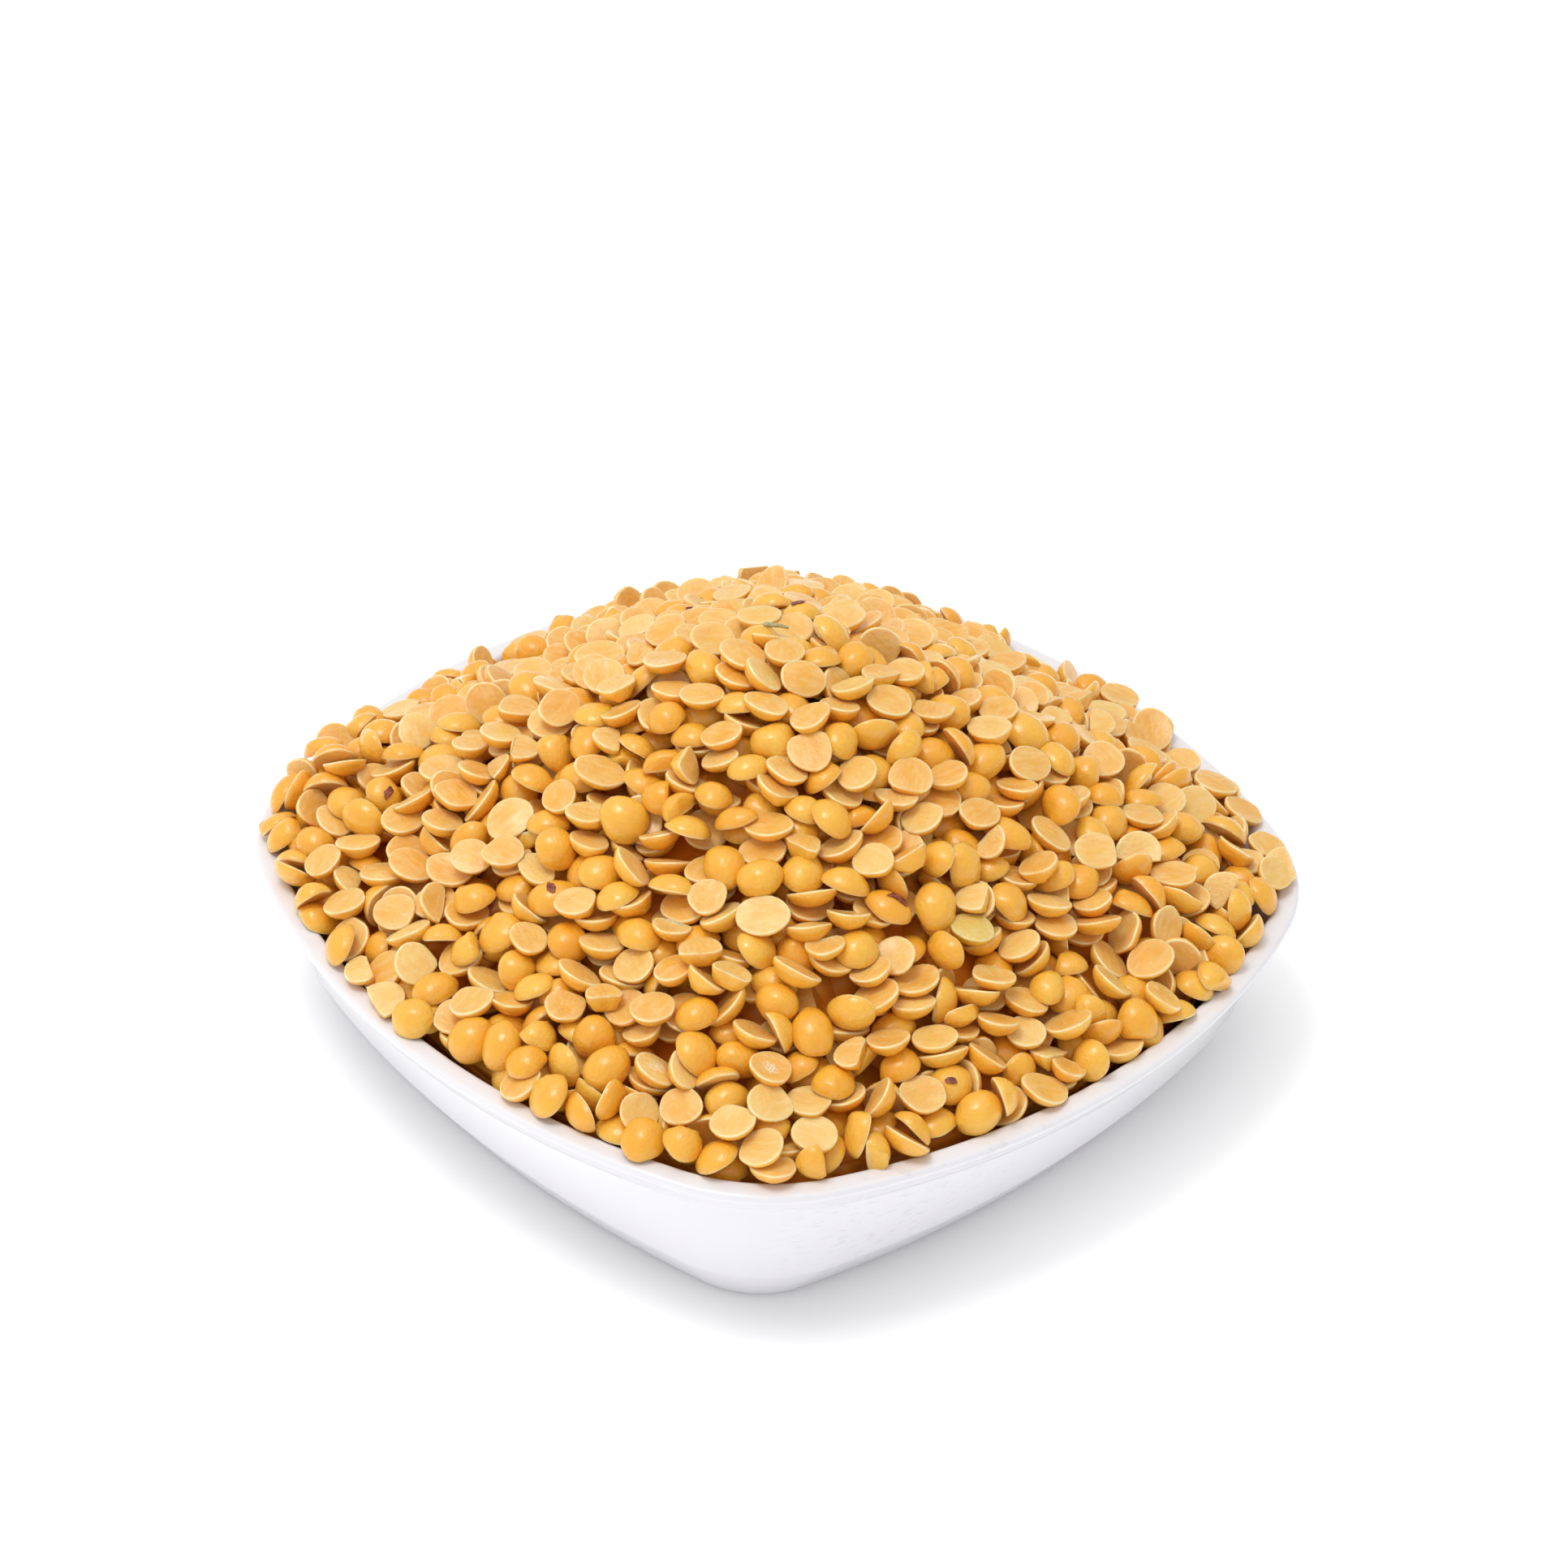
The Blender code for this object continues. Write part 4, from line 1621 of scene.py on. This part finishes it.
    @staticmethod
    def _store(
        piece: bpy.types.Object, name: str, kind: str, field_name: str, values: np.ndarray
    ) -> None:
        """Write one value a corner point into a named attribute."""
        layer = piece.data.attributes.new(name, kind, "POINT")
        layer.data.foreach_set(field_name, values.astype(np.float32).ravel())


class HeapCore:
    """The closed core under the loose grains."""

    side_steps = 12
    corner_steps = 9
    ring_count = 30
    gap = 0.0006

    def __init__(self, heap: HeapForm, dish: DishForm) -> None:
        """Keep the forms that the core follows.

        Args:
            heap: Surface of the heap.
            dish: The dish round it.
        """
        self.heap = heap
        self.dish = dish

    def build(self) -> bpy.types.Object:
        """Make the core."""
        gap = self.gap
        dish = self.dish
        fillet_top = dish.floor_thickness + dish.floor_fillet
        low_outline = dish.wall(fillet_top).inset(dish.wall_thickness + gap)
        floor_outline = low_outline.inset(dish.floor_fillet)
        rings = []
        for outline, height in (
            (floor_outline, dish.floor_thickness + gap),
            (low_outline, fillet_top + gap),
        ):
            flat = outline.points(self.side_steps, self.corner_steps)
            rings.append(np.column_stack([flat, np.full(len(flat), height)]))
        edge_height = self.heap.edge_height - self.heap.core_depth + self.heap.core_rim_lift
        edge = dish.wall(edge_height).inset(dish.wall_thickness + gap)
        flat = edge.points(self.side_steps, self.corner_steps)
        for step in range(self.ring_count):
            share = 1 - step / self.ring_count
            x, y = flat[:, 0] * share, flat[:, 1] * share
            rings.append(np.column_stack([x, y, self.heap.core_height(x, y)]))
        piece = object_from_rings("heap_core", rings)
        piece.data.materials.append(CoreFinish().build())
        register(piece, "lentil_heap")
        return piece


@dataclass(frozen=True)
class Studio:
    """Plain floor, soft light and the camera at the picture's angle."""

    azimuth: float = math.radians(45.77)
    elevation: float = math.radians(38.4)
    roll: float = math.radians(2.51)
    distance: float = 0.4806
    picture_side: float = 1932.0
    focal_pixels: float = 4632.0
    centre_pixel: tuple[float, float] = (962.3, 1231.0)
    sensor_width: float = 36.0
    floor_half_side: float = 3.0

    def build_floor(self) -> None:
        """Lay the floor at z = 0."""
        half = self.floor_half_side
        corners = [(-half, -half, 0), (half, -half, 0), (half, half, 0), (-half, half, 0)]
        floor = new_object("studio_floor", corners, [(0, 1, 2, 3)])
        floor.data.materials.append(FloorFinish().build())

    def build_camera(self) -> None:
        """Place the camera where the picture was taken."""
        back = Vector((
            math.sin(self.azimuth) * math.cos(self.elevation),
            -math.cos(self.azimuth) * math.cos(self.elevation),
            math.sin(self.elevation),
        ))
        ahead = -back
        right = ahead.cross(Vector((0, 0, 1))).normalized()
        up = right.cross(ahead)
        middle = self.picture_side / 2
        pan = math.atan2(self.centre_pixel[0] - middle, self.focal_pixels)
        tilt = math.atan2(self.centre_pixel[1] - middle, self.focal_pixels)
        panned_right = right * math.cos(pan) + ahead * math.sin(pan)
        panned_ahead = ahead * math.cos(pan) - right * math.sin(pan)
        tilted_up = up * math.cos(tilt) - panned_ahead * math.sin(tilt)
        tilted_ahead = up * math.sin(tilt) + panned_ahead * math.cos(tilt)
        rolled_right = panned_right * math.cos(self.roll) + tilted_up * math.sin(self.roll)
        rolled_up = tilted_up * math.cos(self.roll) - panned_right * math.sin(self.roll)
        pose = Matrix((rolled_right, rolled_up, -tilted_ahead)).transposed().to_4x4()
        pose.translation = back * self.distance
        data = bpy.data.cameras.new("picture_camera")
        data.sensor_width = self.sensor_width
        data.lens = self.sensor_width * self.focal_pixels / self.picture_side
        data.clip_start = 0.01
        camera = bpy.data.objects.new("picture_camera", data)
        camera.matrix_world = pose
        bpy.context.scene.collection.objects.link(camera)
        bpy.context.scene.camera = camera

    def add_panel(self, name: str, place: Vector, size: float, power: float) -> None:
        """Add a square soft light that looks at the dish.

        Args:
            name: Name of the light.
            place: Where its middle is.
            size: Length of its sides.
            power: Its power in watts.
        """
        data = bpy.data.lights.new(name, "AREA")
        data.shape = "SQUARE"
        data.size = size
        data.energy = power
        light = bpy.data.objects.new(name, data)
        light.location = place
        light.rotation_euler = (-place).to_track_quat("-Z", "Y").to_euler()
        bpy.context.scene.collection.objects.link(light)

    def build_lights(self) -> None:
        """Set the soft overhead light and the white surroundings."""
        self.add_panel("broad_panel", Vector((-0.13, -0.03, 1.00)), 1.00, 1.8)
        self.add_panel("small_panel", Vector((-0.06, -0.26, 0.96)), 0.32, 2.8)
        world = bpy.data.worlds.new("white_surroundings")
        world.use_nodes = True
        sky = world.node_tree.nodes["Background"]
        sky.inputs["Color"].default_value = (1.0, 1.0, 1.0, 1.0)
        sheet = NodeSheet(world.node_tree)
        direction = sheet.add("ShaderNodeTexCoord").outputs["Generated"]
        towards_left = sheet.vector_measure("DOT_PRODUCT", direction, (-0.70, -0.70, 0.14))
        strength = sheet.spread(towards_left, -1.0, 1.0, 0.54, 0.82)
        sheet.join(strength, sky.inputs["Strength"])
        bpy.context.scene.world = world
        bpy.context.scene.view_settings.view_transform = "Standard"

    def build(self) -> None:
        """Set the whole studio."""
        self.build_floor()
        self.build_camera()
        self.build_lights()


def main() -> None:
    """Build the dish, the heap and the studio."""
    logging.basicConfig(level=logging.INFO, format="%(name)s: %(message)s")
    Studio().build()
    dish_form = DishForm.from_solid("dish")
    Dish(dish_form).build()
    heap_form = HeapForm(mouth=dish_form.mouth())
    HeapCore(heap_form, dish_form).build()
    pile = Pile(heap_form, dish_form, seed=7)
    pile.fill(attempts=4600, edge_attempts=900, spare_attempts=1600, slot_attempts=500)
    pile.exposed(*CHALKY_PLACE, face_up=True).tone[2] = CHALKY_TONE
    pile.exposed(*HOLLOW_PLACE, face_up=True).tone[2] = CHALKY_TONE
    pile.exposed(*GREEN_PLACE, face_up=True).tone[2] = GREEN_TONE
    skin = GrainFinish().build()
    chalky_skin = GrainFinish(chalky=True).build()
    for kind in GrainKind:
        GrainMesh(kind, pile.grains).build(skin, chalky_skin)
    HuskFlecks(pile, seed=5).build(HUSK_PLACES)
    StemBit(pile, (-0.0060, 0.0018), (-0.0036, 0.0036)).build()


if __name__ == "__main__":
    main()
